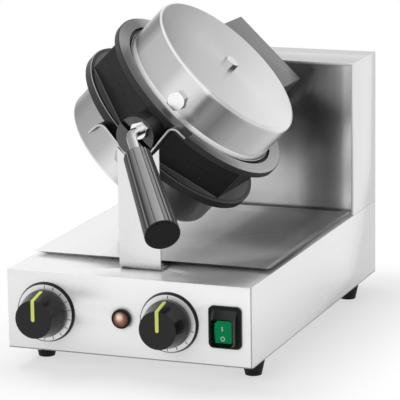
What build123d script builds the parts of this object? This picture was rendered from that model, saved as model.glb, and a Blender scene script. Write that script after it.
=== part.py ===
from build123d import *
import os
from math import asin, cos, radians, sin, sqrt, tan

os.makedirs("parts", exist_ok=True)

# A countertop bubble waffle maker, in millimetres. X points right, Y points to the rear and Z up.
# Z is 0 where the feet stand. The origin is under the middle of the whole machine.

# Stainless housing
WIDTH = 250
BASE_DEPTH = 394
BASE_HEIGHT = 78
COLUMN_DEPTH = 77
COLUMN_HEIGHT = 238.5
SHEET = 1.2
COLUMN_SHEET = 1.5
COLUMN_LIP = 3
PANEL_PLAY = 0.1
CORNER_ROUND = 1.0

# Feet, each set in from the nearer side, the front and the rear
FOOT_HEIGHT = 20
FOOT_TOP_RADIUS = 12.5
FOOT_BOTTOM_RADIUS = 8
FOOT_INSET_X = 17
FOOT_FRONT = 50
FOOT_REAR = 44
FOOT_POCKET_RADIUS = 5.2
FOOT_POCKET_DEPTH = 11
FOOT_SCREW_RADIUS = 2.5
FOOT_SCREW_HEAD_RADIUS = 4.5
FOOT_SCREW_HEAD = 3
FOOT_SCREW_END = 2.4

# The iron turns about a level axis between its front cradle and its rear bearing.
# Its middle lies this far in front of the column
TILT = 44
AXIS_HEIGHT = 210
IRON_DEPTH = 163

# One half of the iron: a hexagonal block with a round flange behind it
FACE_GAP = 0.1
BLOCK_HEIGHT = 19
LOWER_BLOCK_HEIGHT = 17.7
BLOCK_HALF = 88.5
BLOCK_SIDE = 46
BLOCK_SLOPE = 35.5
BLOCK_NOSE = 98
BLOCK_ROUND = 2.5
FLANGE_RADIUS = 103.5
FLANGE_THICKNESS = 6.7
LOWER_FLANGE_THICKNESS = 8.7
FLANGE_CHAMFER = 0.8
GROOVE_INNER = 87.2
GROOVE_REACH = 91
GROOVE_WAIST = 84
GROOVE_DEPTH = 2.5

# Cooking face
FIELD_RADIUS = 84
FIELD_DEPTH = 1
POCKET_RADIUS = 11
POCKET_DEPTH = 9
POCKET_PITCH = 24
POCKET_RINGS = 3

# Journal at the front of the iron, half of it on each pan
JOURNAL_RADIUS = 19
JOURNAL_FRONT = 128.5
JOURNAL_GAP = 1
LID_JOURNAL_GAP = 3.4
JOURNAL_NECK = 3
NECK_WIDTH = 26
NECK_DEPTH = 14

# Heating elements and the sheet covers over them
COVER_RADIUS = 85.5
COVER_HEIGHT = 44
COVER_SHEET = 1.2
COVER_ROUND = 6
COVER_FLARE = 1.2
COVER_FLARE_HEIGHT = 5
ELEMENT_RADIUS = 58
ELEMENT_WIRE = 4.2
ELEMENT_SWEEP = 320
ELEMENT_PLAY = 0.05
TERMINAL_RADIUS = 2.5
TERMINAL_LENGTH = 20
TERMINAL_TURN = 3
CLAMP_RADIUS = 64
CLAMP_THICKNESS = 2
NOTCH_PLAY = 2
POST_RADIUS = 9
BOSS_WIDTH = 18
BOSS_DEPTH = 14
BOSS_HEIGHT = 23
BOSS_PLAY = 1

# Fasteners of the covers: a small bolt in the middle and a large one at the front
SMALL_BOLT_FLATS = 13
SMALL_BOLT_HEAD = 5.5
SMALL_BOLT_RADIUS = 4
SMALL_BOLT_LENGTH = 20
LARGE_BOLT_FLATS = 17
LARGE_BOLT_HEAD = 6.4
LARGE_BOLT_RADIUS = 5
LARGE_BOLT_LENGTH = 14
LARGE_BOLT_LEVEL = 40
HOLE_PLAY = 0.3
HEX_BEVEL = 30

# Lid hinge behind the iron: its web is set out from the column, its pin and its box from the web
WEB_FRONT = 21
PIN_BACK = 20
BOX_REAR = 4.5
PIN_LEVEL = 33
PIN_RADIUS = 5
PIN_HEAD_RADIUS = 8
PIN_HEAD = 3
CLIP_THICKNESS = 1.8
GRIP_FIT = 0.01
RUN = 0.05
END_PLAY = 0.2
KNUCKLE_RADIUS = 11
KNUCKLE_WIDTH = 24
KNUCKLE_ROOT = 88
KNUCKLE_ROOT_LEVEL = 4
KNUCKLE_ROOT_THICKNESS = 2
BOX_HALF = 44.5
BOX_FRONT = 70
BOX_TOP = 63
BOX_SHEET = 1.5
CHEEK_GAP = 1.5
CHEEK_THICKNESS = 4
EAR_RADIUS = 10
WEB_THICKNESS = 4
WEB_TOP = 12
WEB_BOTTOM = -40
TAIL_HALF = 38
TAIL_ROOT = 70
TAIL_GAP = 1.5
WIRE_GROOVE = 30
YOKE_SCREW_X = 28
YOKE_SCREW_LEVEL = 10
YOKE_SCREW_RADIUS = 3
YOKE_SCREW_LENGTH = 18
YOKE_SCREW_HEAD_RADIUS = 5
YOKE_SCREW_HEAD = 6

# Hollow shaft that carries the iron in the column
SHAFT_RADIUS = 12.5
SHAFT_BORE = 8
SHAFT_FLANGE_RADIUS = 16
SHAFT_FLANGE = 5
BUSH_WALL = 2.5
BEARING_RADIUS = 17
BEARING_FLANGE_RADIUS = 24
BEARING_FLANGE = 3.5
BEARING_LENGTH = 30
BEARING_SCREW_CIRCLE = 20.5
BEARING_SCREW_RADIUS = 1.5
BEARING_SCREW_HEAD = 1.6
BEARING_SCREW_HEAD_RADIUS = 2.7
BEARING_SCREW_END = 2
BEARING_SCREWS = 4
BEARING_SCREW_TURN = 45
BRACKET_THICKNESS = 3
BRACKET_WIDTH = 110
BRACKET_HEIGHT = 96
COLLAR_RADIUS = 17
COLLAR_WIDTH = 6

# Front post and the bent strip on it that cradles the journal, both set back from the journal's front
POST_FRONT = 7
POST_WIDTH = 42.5
POST_SHEET = 2.5
POST_BEND = 6
POST_FOOT = 22
POST_TOP = 197.5
POST_SCREW_SPACING = 24
STRIP_FRONT = 3.5
STRIP_WIDTH = 19.5
STRIP_SHEET = 2.2
STRIP_ANGLE = 49.5
STRIP_APEX = 36.4
STRIP_TIP = 49.3
STRIP_TIP_ANGLE = 41
STRIP_BEND = 7.5
CRADLE_PLAY = 0.3

# Drip tray: its front is set back from the post, and its rear stops short of the column
TRAY_HALF = 123
TRAY_FRONT = 25
TRAY_REAR = 6
TRAY_HEIGHT = 4.8
TRAY_FLARE = 10
TRAY_SHEET = 1

# Handle on the lid
ROD_RADIUS = 5
ROD_LEVEL = 9.5
ROD_SEAT = 16
ROD_BEND = 18
ROD_CORNER = 155.2
ROD_TURN = 44.3
HANDLE_NUT = 8
HANDLE_NUT_FLATS = 15.5
GRIP_START = 32.5
GRIP_LENGTH = 106.2
GRIP_NEAR_RADIUS = 13.3
GRIP_FAR_RADIUS = 16.5
GRIP_FLUTES = 12
FLUTE_RADIUS = 0.7
FLUTE_RISE = 0.15
ROD_IN_GRIP = 70
CAP_THICKNESS = 3
CAP_ROUND = 1.6

# Controls on the front panel: the left dial is set in from the left side, the rest from the right side
LEFT_DIAL_X = 40.5
RIGHT_DIAL_X = 82.8
CONTROL_LEVEL = 38.5
BEZEL_RADIUS = 29.6
BEZEL_FRONT_RADIUS = 28.4
BEZEL_RING = 0.5
BEZEL_DEPTH = 4.2
DIAL_RECESS = 1.2
DIAL_THICKNESS = 1
KNOB_BASE_RADIUS = 23.2
KNOB_SKIRT = 4.6
KNOB_FACE_RADIUS = 18.5
KNOB_FACE_DEPTH = 32.3
KNOB_ROUND = 1.2
SPINDLE_RADIUS = 3
SPINDLE_IN_KNOB = 14
SPINDLE_IN_BODY = 16
BUSH_RADIUS = 5
CONTROL_BODY = 38
CONTROL_BODY_DEPTH = 26
CONTROL_BODY_ROUND = 4
LAMP_X = 131.1
LAMP_RADIUS = 9.5
LAMP_LENS_RADIUS = 7.3
LAMP_DEPTH = 4.6
LAMP_BODY_RADIUS = 6
LAMP_BODY_DEPTH = 22
LAMP_DOME = 1.6
LAMP_RECESS = 2.1
LAMP_CHAMFER = 0.8
SWITCH_X = 26.5
SWITCH_WIDTH = 32.8
SWITCH_HEIGHT = 41
SWITCH_ROUND = 5
SWITCH_DEPTH = 3
SWITCH_CHAMFER = 0.9
SWITCH_BODY_WIDTH = 24
SWITCH_BODY_HEIGHT = 31
SWITCH_BODY_DEPTH = 24
SWITCH_WELL_WIDTH = 17.2
SWITCH_WELL_HEIGHT = 22
SWITCH_WELL_DEPTH = 12
BOOT_BASE_WIDTH = 25.5
BOOT_BASE_HEIGHT = 34
BOOT_FACE_WIDTH = 22
BOOT_FACE_HEIGHT = 26.2
BOOT_DROP = 3.3
BOOT_STAND = 8
BOOT_WALL = 1.3
BOOT_ROUND = 3
ROCKER_WIDTH = 15.2
ROCKER_HEIGHT = 19
ROCKER_FACE = 10
ROCKER_PIVOT = 1
ROCKER_BACK = 6
ROCKER_TILT = 7
ROCKER_PIN_RADIUS = 1.2

# Cable gland, set in from the right side, and terminals, set in from the rear
GLAND_X = 40
GLAND_LEVEL = 30
GLAND_OUT = 14
GLAND_RADIUS = 9
GLAND_NUT_FLATS = 22
GLAND_BORE = 4
GLAND_NUT = 5.6
GLAND_THREAD_RADIUS = 8
GLAND_MOUTH_RADIUS = 6.3
TERMINAL_BLOCK_WIDTH = 60
TERMINAL_BLOCK_DEPTH = 22
TERMINAL_BLOCK_HEIGHT = 18
TERMINAL_BLOCK_BACK = 44
TERMINAL_POLES = 5
TERMINAL_HOLE_RADIUS = 2.5
TERMINAL_HOLE_DEPTH = 9

# Ventilation slots in the bottom plate and the rear cover, and the wiring opening under the column
SLOT_WIDTH = 4
FLOOR_SLOT = 44
FLOOR_SLOT_BRIDGE = 16
FLOOR_SLOT_SPACING = 14
FLOOR_SLOT_ROW = 9
FLOOR_SLOT_ROWS = 3
REAR_SLOT = 50
REAR_SLOT_BRIDGE = 20
REAR_SLOT_SPACING = 12
REAR_SLOT_ROWS = 6
REAR_SLOT_TOP = 68
DECK_OPENING_INSET_X = 50
DECK_OPENING_INSET_Y = 15

# Screws of the housing
SCREW_RADIUS = 2
SCREW_HEAD_RADIUS = 4
SCREW_HEAD = 2.2
SCREW_LENGTH = 8
SCREW_HEAD_ROUND = 0.9
REAR_SCREW_INSET = 9
BASE_SCREW_X = 28
BASE_SCREW_INSET = 9

# Cuts run past the faces that they open by this much
CUT_PAST = 1

# Places worked out from the sizes above
handle_dir = (sin(radians(ROD_TURN)), -cos(radians(ROD_TURN)))
handle_reach = GRIP_START + GRIP_LENGTH + CAP_THICKNESS
iron_back = BASE_DEPTH - COLUMN_DEPTH - IRON_DEPTH
front_reach = (
    ROD_CORNER
    - iron_back
    + (handle_reach - CAP_ROUND) * cos(radians(ROD_TURN))
    + (GRIP_FAR_RADIUS - CAP_ROUND) * sin(radians(ROD_TURN))
    + CAP_ROUND
)
panel_y = (front_reach - BASE_DEPTH - GLAND_OUT) / 2
rear_y = panel_y + BASE_DEPTH
column_y = rear_y - COLUMN_DEPTH
base_z = FOOT_HEIGHT
deck_z = base_z + BASE_HEIGHT
top_z = base_z + COLUMN_HEIGHT
control_z = base_z + CONTROL_LEVEL
axis_z = base_z + AXIS_HEIGHT
iron_y = panel_y + iron_back
journal_y = iron_y - JOURNAL_FRONT
web_front = IRON_DEPTH - WEB_FRONT
pin_back = web_front - PIN_BACK
box_rear = web_front - BOX_REAR
post_y = journal_y + POST_FRONT
foot_x = WIDTH / 2 - FOOT_INSET_X
foot_depths = (FOOT_FRONT, BASE_DEPTH - FOOT_REAR)
base_screw_x = WIDTH / 2 - BASE_SCREW_X
base_screw_depths = (BASE_SCREW_INSET, BASE_DEPTH - BASE_SCREW_INSET)
left_dial_x = LEFT_DIAL_X - WIDTH / 2
right_dial_x = WIDTH / 2 - RIGHT_DIAL_X
lamp_x = WIDTH / 2 - LAMP_X
switch_x = WIDTH / 2 - SWITCH_X
gland_x = WIDTH / 2 - GLAND_X
cheek_inner = BOX_HALF + CHEEK_GAP
cheek_outer = cheek_inner + CHEEK_THICKNESS
column_panel_y = column_y + COLUMN_SHEET
post_screw_y = post_y + (POST_BEND + POST_FOOT) / 2
grip_corner = (0, -ROD_CORNER)
strip_z = axis_z - (JOURNAL_RADIUS + CRADLE_PLAY + STRIP_SHEET / 2) / cos(radians(STRIP_ANGLE))
post_notch_z = strip_z - STRIP_SHEET / 2 / cos(radians(STRIP_ANGLE))
apex_z = strip_z + STRIP_APEX * tan(radians(STRIP_ANGLE))
tip_z = apex_z - (STRIP_TIP - STRIP_APEX) * tan(radians(STRIP_TIP_ANGLE))

# The upper half lies along this plane, and the lower half is the same turned over about Y
tilt = radians(TILT)
IRON = Plane(origin=(0, iron_y, axis_z), x_dir=(cos(tilt), 0, -sin(tilt)), z_dir=(sin(tilt), 0, cos(tilt)))
UNDER = Plane(origin=IRON.origin, x_dir=-IRON.x_dir, z_dir=-IRON.z_dir)


def facing(y, x=0.0, z=0.0):
    """Upright plane that faces the front: sketch x is right, sketch y is up."""
    return Plane(origin=(x, y, z), x_dir=(1, 0, 0), z_dir=(0, -1, 0))


def across(half, back, level=0.0):
    """Plane across a half of the iron, facing the front: sketch y points away from the parting."""
    return Plane(origin=half.from_local_coords((0, back, level)), x_dir=half.x_dir, z_dir=(0, -1, 0))


def beside(half, along):
    """Plane beside a half of the iron: sketch x is to the rear, sketch y away from the parting."""
    return Plane(origin=half.from_local_coords((along, 0, 0)), x_dir=(0, 1, 0), z_dir=half.x_dir)


def hexagon_head(seat, flats, height):
    """Adds a hexagonal head that stands on this plane, with its outer corners turned off."""
    corner = flats / sqrt(3) + CUT_PAST
    with BuildSketch(seat) as hexagon:
        RegularPolygon(flats / 2, 6, major_radius=False)
    extrude(hexagon.sketch, amount=height)
    with BuildSketch(Plane(origin=seat.origin, x_dir=seat.x_dir, z_dir=-seat.y_dir)) as bevel:
        with BuildLine():
            Polyline(
                (flats / 2, height),
                (corner, height),
                (corner, height - (corner - flats / 2) * tan(radians(HEX_BEVEL))),
                close=True,
            )
        make_face()
    revolve(bevel.sketch, axis=Axis(seat.origin, seat.z_dir), mode=Mode.SUBTRACT)


def save(piece, name):
    """Names a finished piece and writes it."""
    piece.part.label = name
    export_step(piece.part, f"parts/{name}.step")


# Base housing
with BuildPart() as front_panel:
    with BuildSketch(facing(panel_y)):
        with Locations((0, base_z)):
            Rectangle(WIDTH, BASE_HEIGHT, align=(Align.CENTER, Align.MIN))
        with Locations((left_dial_x, control_z), (right_dial_x, control_z)):
            Circle(BUSH_RADIUS + HOLE_PLAY, mode=Mode.SUBTRACT)
        with Locations((lamp_x, control_z)):
            Circle(LAMP_BODY_RADIUS + HOLE_PLAY, mode=Mode.SUBTRACT)
        with Locations((switch_x, control_z - BOOT_DROP)):
            Rectangle(SWITCH_BODY_WIDTH + HOLE_PLAY, SWITCH_BODY_HEIGHT + HOLE_PLAY, mode=Mode.SUBTRACT)
    extrude(amount=-SHEET)
save(front_panel, "front_panel")

with BuildPart() as base_shell:
    with BuildSketch(facing(panel_y + SHEET)):
        with Locations((0, base_z)):
            Rectangle(WIDTH, BASE_HEIGHT, align=(Align.CENTER, Align.MIN))
            Rectangle(
                WIDTH - 2 * SHEET, BASE_HEIGHT - SHEET, align=(Align.CENTER, Align.MIN), mode=Mode.SUBTRACT
            )
    extrude(amount=-(BASE_DEPTH - SHEET))
    fillet(
        base_shell.edges().filter_by(Axis.Y).group_by(Axis.Z)[-1],
        CORNER_ROUND,
    )
    with BuildSketch(Plane.XY.offset(deck_z + CUT_PAST)):
        with Locations((0, rear_y - COLUMN_DEPTH / 2)):
            Rectangle(WIDTH - 2 * DECK_OPENING_INSET_X, COLUMN_DEPTH - 2 * DECK_OPENING_INSET_Y)
        with Locations((0, rear_y)):
            Rectangle(WIDTH - 2 * COLUMN_SHEET, 2 * (SHEET + PANEL_PLAY))
        with Locations((0, post_screw_y)):
            with GridLocations(POST_SCREW_SPACING, 1, 2, 1):
                Circle(SCREW_RADIUS + RUN)
    extrude(amount=-(SHEET + 2 * CUT_PAST), mode=Mode.SUBTRACT)
save(base_shell, "base_shell")

with BuildPart() as bottom_plate:
    with BuildSketch(Plane.XY.offset(base_z)):
        with Locations((0, panel_y + SHEET + PANEL_PLAY)):
            Rectangle(
                WIDTH - 2 * (SHEET + PANEL_PLAY),
                BASE_DEPTH - 2 * (SHEET + PANEL_PLAY),
                align=(Align.CENTER, Align.MIN),
            )
        with Locations((0, panel_y + BASE_DEPTH / 2)):
            with GridLocations(
                FLOOR_SLOT_SPACING, FLOOR_SLOT + FLOOR_SLOT_BRIDGE, FLOOR_SLOT_ROW, FLOOR_SLOT_ROWS
            ):
                SlotOverall(FLOOR_SLOT, SLOT_WIDTH, rotation=90, mode=Mode.SUBTRACT)
        for depth in foot_depths:
            with Locations((-foot_x, panel_y + depth), (foot_x, panel_y + depth)):
                Circle(FOOT_SCREW_RADIUS + HOLE_PLAY, mode=Mode.SUBTRACT)
        for depth in base_screw_depths:
            with Locations((-base_screw_x, panel_y + depth), (base_screw_x, panel_y + depth)):
                Circle(SCREW_RADIUS + RUN, mode=Mode.SUBTRACT)
    extrude(amount=SHEET)
save(bottom_plate, "bottom_plate")

with BuildPart() as base_screws:
    with BuildSketch(Plane.XY.offset(base_z)):
        for depth in base_screw_depths:
            with Locations((-base_screw_x, panel_y + depth), (base_screw_x, panel_y + depth)):
                Circle(SCREW_HEAD_RADIUS)
    extrude(amount=-SCREW_HEAD)
    fillet(base_screws.faces().sort_by(Axis.Z)[:4].edges(), SCREW_HEAD_ROUND)
    with BuildSketch(Plane.XY.offset(base_z)):
        for depth in base_screw_depths:
            with Locations((-base_screw_x, panel_y + depth), (base_screw_x, panel_y + depth)):
                Circle(SCREW_RADIUS)
    extrude(amount=SCREW_LENGTH)
save(base_screws, "base_screws")

# Feet: tapered rubber with a screw in a pocket from below
for side_name, x in (("left", -foot_x), ("right", foot_x)):
    for end_name, depth in zip(("front", "rear"), foot_depths):
        with BuildPart() as foot:
            with BuildSketch(Plane.XY):
                with Locations((x, panel_y + depth)):
                    Circle(FOOT_BOTTOM_RADIUS)
            with BuildSketch(Plane.XY.offset(FOOT_HEIGHT)):
                with Locations((x, panel_y + depth)):
                    Circle(FOOT_TOP_RADIUS)
            loft()
            with BuildSketch(Plane.XY):
                with Locations((x, panel_y + depth)):
                    Circle(FOOT_POCKET_RADIUS)
            extrude(amount=FOOT_POCKET_DEPTH, mode=Mode.SUBTRACT)
            with BuildSketch(Plane.XY):
                with Locations((x, panel_y + depth)):
                    Circle(FOOT_SCREW_RADIUS + RUN)
            extrude(amount=FOOT_HEIGHT, mode=Mode.SUBTRACT)
        save(foot, f"foot_{end_name}_{side_name}")

with BuildPart() as foot_screws:
    with BuildSketch(Plane.XY.offset(FOOT_POCKET_DEPTH)):
        for depth in foot_depths:
            with Locations((-foot_x, panel_y + depth), (foot_x, panel_y + depth)):
                Circle(FOOT_SCREW_HEAD_RADIUS)
    extrude(amount=-FOOT_SCREW_HEAD)
    with BuildSketch(Plane.XY.offset(FOOT_POCKET_DEPTH)):
        for depth in foot_depths:
            with Locations((-foot_x, panel_y + depth), (foot_x, panel_y + depth)):
                Circle(FOOT_SCREW_RADIUS)
    extrude(amount=FOOT_HEIGHT - FOOT_POCKET_DEPTH + SHEET + FOOT_SCREW_END)
save(foot_screws, "foot_screws")

# Column: a folded shell with a narrow lip, and a polished panel set in behind the lip
with BuildPart() as column_shell:
    with BuildSketch(facing(column_y)):
        with Locations((0, deck_z)):
            Rectangle(WIDTH, top_z - deck_z, align=(Align.CENTER, Align.MIN))
            Rectangle(
                WIDTH - 2 * COLUMN_LIP,
                top_z - deck_z - COLUMN_LIP,
                align=(Align.CENTER, Align.MIN),
                mode=Mode.SUBTRACT,
            )
    extrude(amount=-COLUMN_SHEET)
    with BuildSketch(facing(column_y + COLUMN_SHEET)):
        with Locations((0, deck_z)):
            Rectangle(WIDTH, top_z - deck_z, align=(Align.CENTER, Align.MIN))
            Rectangle(
                WIDTH - 2 * COLUMN_SHEET,
                top_z - deck_z - COLUMN_SHEET,
                align=(Align.CENTER, Align.MIN),
                mode=Mode.SUBTRACT,
            )
    extrude(amount=-(COLUMN_DEPTH - COLUMN_SHEET))
    fillet(column_shell.edges().filter_by(Axis.Y).group_by(Axis.Z)[-1], CORNER_ROUND)
save(column_shell, "column_shell")

with BuildPart() as column_panel:
    with BuildSketch(facing(column_panel_y)):
        with Locations((0, deck_z)):
            Rectangle(
                WIDTH - 2 * (COLUMN_SHEET + PANEL_PLAY),
                top_z - deck_z - COLUMN_SHEET - PANEL_PLAY,
                align=(Align.CENTER, Align.MIN),
            )
        with Locations((0, axis_z)):
            Circle(BEARING_RADIUS + HOLE_PLAY, mode=Mode.SUBTRACT)
            with PolarLocations(BEARING_SCREW_CIRCLE, BEARING_SCREWS, BEARING_SCREW_TURN):
                Circle(BEARING_SCREW_RADIUS + RUN, mode=Mode.SUBTRACT)
    extrude(amount=-SHEET)
save(column_panel, "column_panel")

with BuildPart() as bearing_bracket:
    with BuildSketch(facing(column_panel_y + SHEET)):
        with Locations((0, top_z - COLUMN_LIP)):
            Rectangle(BRACKET_WIDTH, BRACKET_HEIGHT, align=(Align.CENTER, Align.MAX))
        with Locations((0, axis_z)):
            Circle(BEARING_RADIUS + HOLE_PLAY, mode=Mode.SUBTRACT)
            with PolarLocations(BEARING_SCREW_CIRCLE, BEARING_SCREWS, BEARING_SCREW_TURN):
                Circle(BEARING_SCREW_RADIUS + RUN, mode=Mode.SUBTRACT)
    extrude(amount=-BRACKET_THICKNESS)
save(bearing_bracket, "bearing_bracket")

with BuildPart() as rear_cover:
    with BuildSketch(facing(rear_y - SHEET)):
        with Locations((0, base_z)):
            Rectangle(
                WIDTH - 2 * (COLUMN_SHEET + PANEL_PLAY),
                COLUMN_HEIGHT - COLUMN_SHEET - PANEL_PLAY,
                align=(Align.CENTER, Align.MIN),
            )
        with Locations((gland_x, base_z + GLAND_LEVEL)):
            Circle(GLAND_THREAD_RADIUS + RUN, mode=Mode.SUBTRACT)
        with Locations((0, top_z - REAR_SLOT_TOP)):
            with GridLocations(REAR_SLOT + REAR_SLOT_BRIDGE, REAR_SLOT_SPACING, 2, REAR_SLOT_ROWS):
                SlotOverall(REAR_SLOT, SLOT_WIDTH, mode=Mode.SUBTRACT)
        for z in (base_z + REAR_SCREW_INSET, deck_z + REAR_SCREW_INSET, top_z - REAR_SCREW_INSET):
            with Locations((0, z)):
                with GridLocations(WIDTH - 2 * REAR_SCREW_INSET, 1, 2, 1):
                    Circle(SCREW_RADIUS + RUN, mode=Mode.SUBTRACT)
    extrude(amount=-SHEET)
save(rear_cover, "rear_cover")

with BuildPart() as rear_screws:
    for z in (base_z + REAR_SCREW_INSET, deck_z + REAR_SCREW_INSET, top_z - REAR_SCREW_INSET):
        with BuildSketch(facing(rear_y, z=z)):
            with GridLocations(WIDTH - 2 * REAR_SCREW_INSET, 1, 2, 1):
                Circle(SCREW_HEAD_RADIUS)
        extrude(amount=-SCREW_HEAD)
        with BuildSketch(facing(rear_y, z=z)):
            with GridLocations(WIDTH - 2 * REAR_SCREW_INSET, 1, 2, 1):
                Circle(SCREW_RADIUS)
        extrude(amount=SCREW_LENGTH)
save(rear_screws, "rear_screws")

# Cable gland in the rear cover, with the terminals inside
with BuildPart() as cable_gland:
    with BuildSketch(facing(rear_y, gland_x, base_z + GLAND_LEVEL)):
        RegularPolygon(GLAND_NUT_FLATS / 2, 6, major_radius=False)
    extrude(amount=-GLAND_NUT)
    with BuildSketch(facing(rear_y + GLAND_NUT, gland_x, base_z + GLAND_LEVEL)):
        Circle(GLAND_RADIUS)
    with BuildSketch(facing(rear_y + GLAND_OUT, gland_x, base_z + GLAND_LEVEL)):
        Circle(GLAND_MOUTH_RADIUS)
    loft()
    with BuildSketch(facing(rear_y, gland_x, base_z + GLAND_LEVEL)):
        Circle(GLAND_THREAD_RADIUS)
    extrude(amount=SHEET)
    with BuildSketch(facing(rear_y - SHEET, gland_x, base_z + GLAND_LEVEL)):
        RegularPolygon(GLAND_NUT_FLATS / 2, 6, major_radius=False)
    extrude(amount=GLAND_NUT)
    with BuildSketch(facing(rear_y + GLAND_OUT, gland_x, base_z + GLAND_LEVEL)):
        Circle(GLAND_BORE)
    extrude(amount=GLAND_OUT + SHEET + GLAND_NUT, mode=Mode.SUBTRACT)
save(cable_gland, "cable_gland")

with BuildPart() as terminal_block:
    with BuildSketch(Plane.XY.offset(base_z + SHEET)):
        with Locations((0, rear_y - TERMINAL_BLOCK_BACK)):
            Rectangle(TERMINAL_BLOCK_WIDTH, TERMINAL_BLOCK_DEPTH)
    extrude(amount=TERMINAL_BLOCK_HEIGHT)
    with BuildSketch(Plane.XY.offset(base_z + SHEET + TERMINAL_BLOCK_HEIGHT)):
        with Locations((0, rear_y - TERMINAL_BLOCK_BACK)):
            with GridLocations(
                TERMINAL_BLOCK_WIDTH / TERMINAL_POLES, TERMINAL_BLOCK_DEPTH / 2, TERMINAL_POLES, 2
            ):
                Circle(TERMINAL_HOLE_RADIUS)
    extrude(amount=-TERMINAL_HOLE_DEPTH, mode=Mode.SUBTRACT)
save(terminal_block, "terminal_block")

# Front post: a folded strip whose foot runs back along the deck and whose top is cut to a shallow V
with BuildPart() as front_post:
    with BuildSketch(Plane.YZ.offset(-POST_WIDTH / 2)):
        with BuildLine():
            FilletPolyline(
                (post_y + POST_BEND + POST_FOOT, deck_z + POST_SHEET / 2),
                (post_y + POST_SHEET / 2, deck_z + POST_SHEET / 2),
                (post_y + POST_SHEET / 2, axis_z),
                radius=POST_BEND - POST_SHEET / 2,
            )
        trace(line_width=POST_SHEET)
    extrude(amount=POST_WIDTH)
    with BuildSketch(facing(post_y - CUT_PAST)):
        with BuildLine():
            Polyline(
                (-POST_WIDTH, base_z + POST_TOP + (base_z + POST_TOP - post_notch_z)),
                (0, post_notch_z),
                (POST_WIDTH, base_z + POST_TOP + (base_z + POST_TOP - post_notch_z)),
                (POST_WIDTH, axis_z + JOURNAL_RADIUS),
                (-POST_WIDTH, axis_z + JOURNAL_RADIUS),
                close=True,
            )
        make_face()
    extrude(amount=-(POST_SHEET + 2 * CUT_PAST), mode=Mode.SUBTRACT)
    with BuildSketch(Plane.XY.offset(deck_z)):
        with Locations((0, post_screw_y)):
            with GridLocations(POST_SCREW_SPACING, 1, 2, 1):
                Circle(SCREW_RADIUS + RUN)
    extrude(amount=POST_SHEET + CUT_PAST, mode=Mode.SUBTRACT)
save(front_post, "front_post")

with BuildPart() as post_screws:
    with BuildSketch(Plane.XY.offset(deck_z + POST_SHEET)):
        with Locations((0, post_screw_y)):
            with GridLocations(POST_SCREW_SPACING, 1, 2, 1):
                Circle(SCREW_HEAD_RADIUS)
    extrude(amount=SCREW_HEAD)
    with BuildSketch(Plane.XY.offset(deck_z + POST_SHEET)):
        with Locations((0, post_screw_y)):
            with GridLocations(POST_SCREW_SPACING, 1, 2, 1):
                Circle(SCREW_RADIUS)
    extrude(amount=-(POST_SHEET + SCREW_LENGTH))
save(post_screws, "post_screws")

with BuildPart() as cradle:
    with BuildSketch(facing(journal_y + STRIP_FRONT)):
        with BuildLine():
            FilletPolyline(
                (-STRIP_TIP, tip_z),
                (-STRIP_APEX, apex_z),
                (0, strip_z),
                (STRIP_APEX, apex_z),
                (STRIP_TIP, tip_z),
                radius=STRIP_BEND,
            )
        trace(line_width=STRIP_SHEET)
    extrude(amount=-STRIP_WIDTH)
save(cradle, "cradle")

# Drip tray: a shallow folded tray whose sides flare out to its rim
with BuildPart() as drip_tray:
    tray_front_y = post_y + TRAY_FRONT
    tray_rear_y = column_y - TRAY_REAR
    tray_length = tray_rear_y - tray_front_y
    tray_y = (tray_rear_y + tray_front_y) / 2
    for wall, past, mode in ((0, 0, Mode.ADD), (TRAY_SHEET, PANEL_PLAY, Mode.SUBTRACT)):
        with BuildSketch(Plane.XY.offset(deck_z + wall)):
            with Locations((0, tray_y)):
                Rectangle(2 * (TRAY_HALF - TRAY_FLARE - wall), tray_length - 2 * (TRAY_FLARE + wall))
        with BuildSketch(Plane.XY.offset(deck_z + TRAY_HEIGHT + past)):
            with Locations((0, tray_y)):
                Rectangle(2 * (TRAY_HALF - wall), tray_length - 2 * wall)
        loft(mode=mode)
save(drip_tray, "drip_tray")

# Bearing in the column
with BuildPart() as shaft_bearing:
    with BuildSketch(facing(column_panel_y - BEARING_FLANGE, 0, axis_z)):
        Circle(BEARING_FLANGE_RADIUS)
        with PolarLocations(BEARING_SCREW_CIRCLE, BEARING_SCREWS, BEARING_SCREW_TURN):
            Circle(BEARING_SCREW_RADIUS + RUN, mode=Mode.SUBTRACT)
    extrude(amount=-BEARING_FLANGE)
    with BuildSketch(facing(column_panel_y, 0, axis_z)):
        Circle(BEARING_RADIUS)
    extrude(amount=-BEARING_LENGTH)
    with BuildSketch(facing(column_panel_y - BEARING_FLANGE, 0, axis_z)):
        Circle(SHAFT_RADIUS + BUSH_WALL + RUN)
    extrude(amount=-(BEARING_FLANGE + BEARING_LENGTH), mode=Mode.SUBTRACT)
save(shaft_bearing, "shaft_bearing")

with BuildPart() as bearing_bush:
    with BuildSketch(facing(column_panel_y - BEARING_FLANGE, 0, axis_z)):
        Circle(SHAFT_RADIUS + BUSH_WALL)
        Circle(SHAFT_RADIUS + RUN, mode=Mode.SUBTRACT)
    extrude(amount=-(BEARING_FLANGE + BEARING_LENGTH))
save(bearing_bush, "bearing_bush")

with BuildPart() as bearing_screws:
    with BuildSketch(facing(column_panel_y - BEARING_FLANGE, 0, axis_z)):
        with PolarLocations(BEARING_SCREW_CIRCLE, BEARING_SCREWS, BEARING_SCREW_TURN):
            Circle(BEARING_SCREW_HEAD_RADIUS)
    extrude(amount=BEARING_SCREW_HEAD)
    with BuildSketch(facing(column_panel_y - BEARING_FLANGE, 0, axis_z)):
        with PolarLocations(BEARING_SCREW_CIRCLE, BEARING_SCREWS, BEARING_SCREW_TURN):
            Circle(BEARING_SCREW_RADIUS)
    extrude(amount=-(BEARING_FLANGE + SHEET + BRACKET_THICKNESS + BEARING_SCREW_END))
save(bearing_screws, "bearing_screws")

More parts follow.
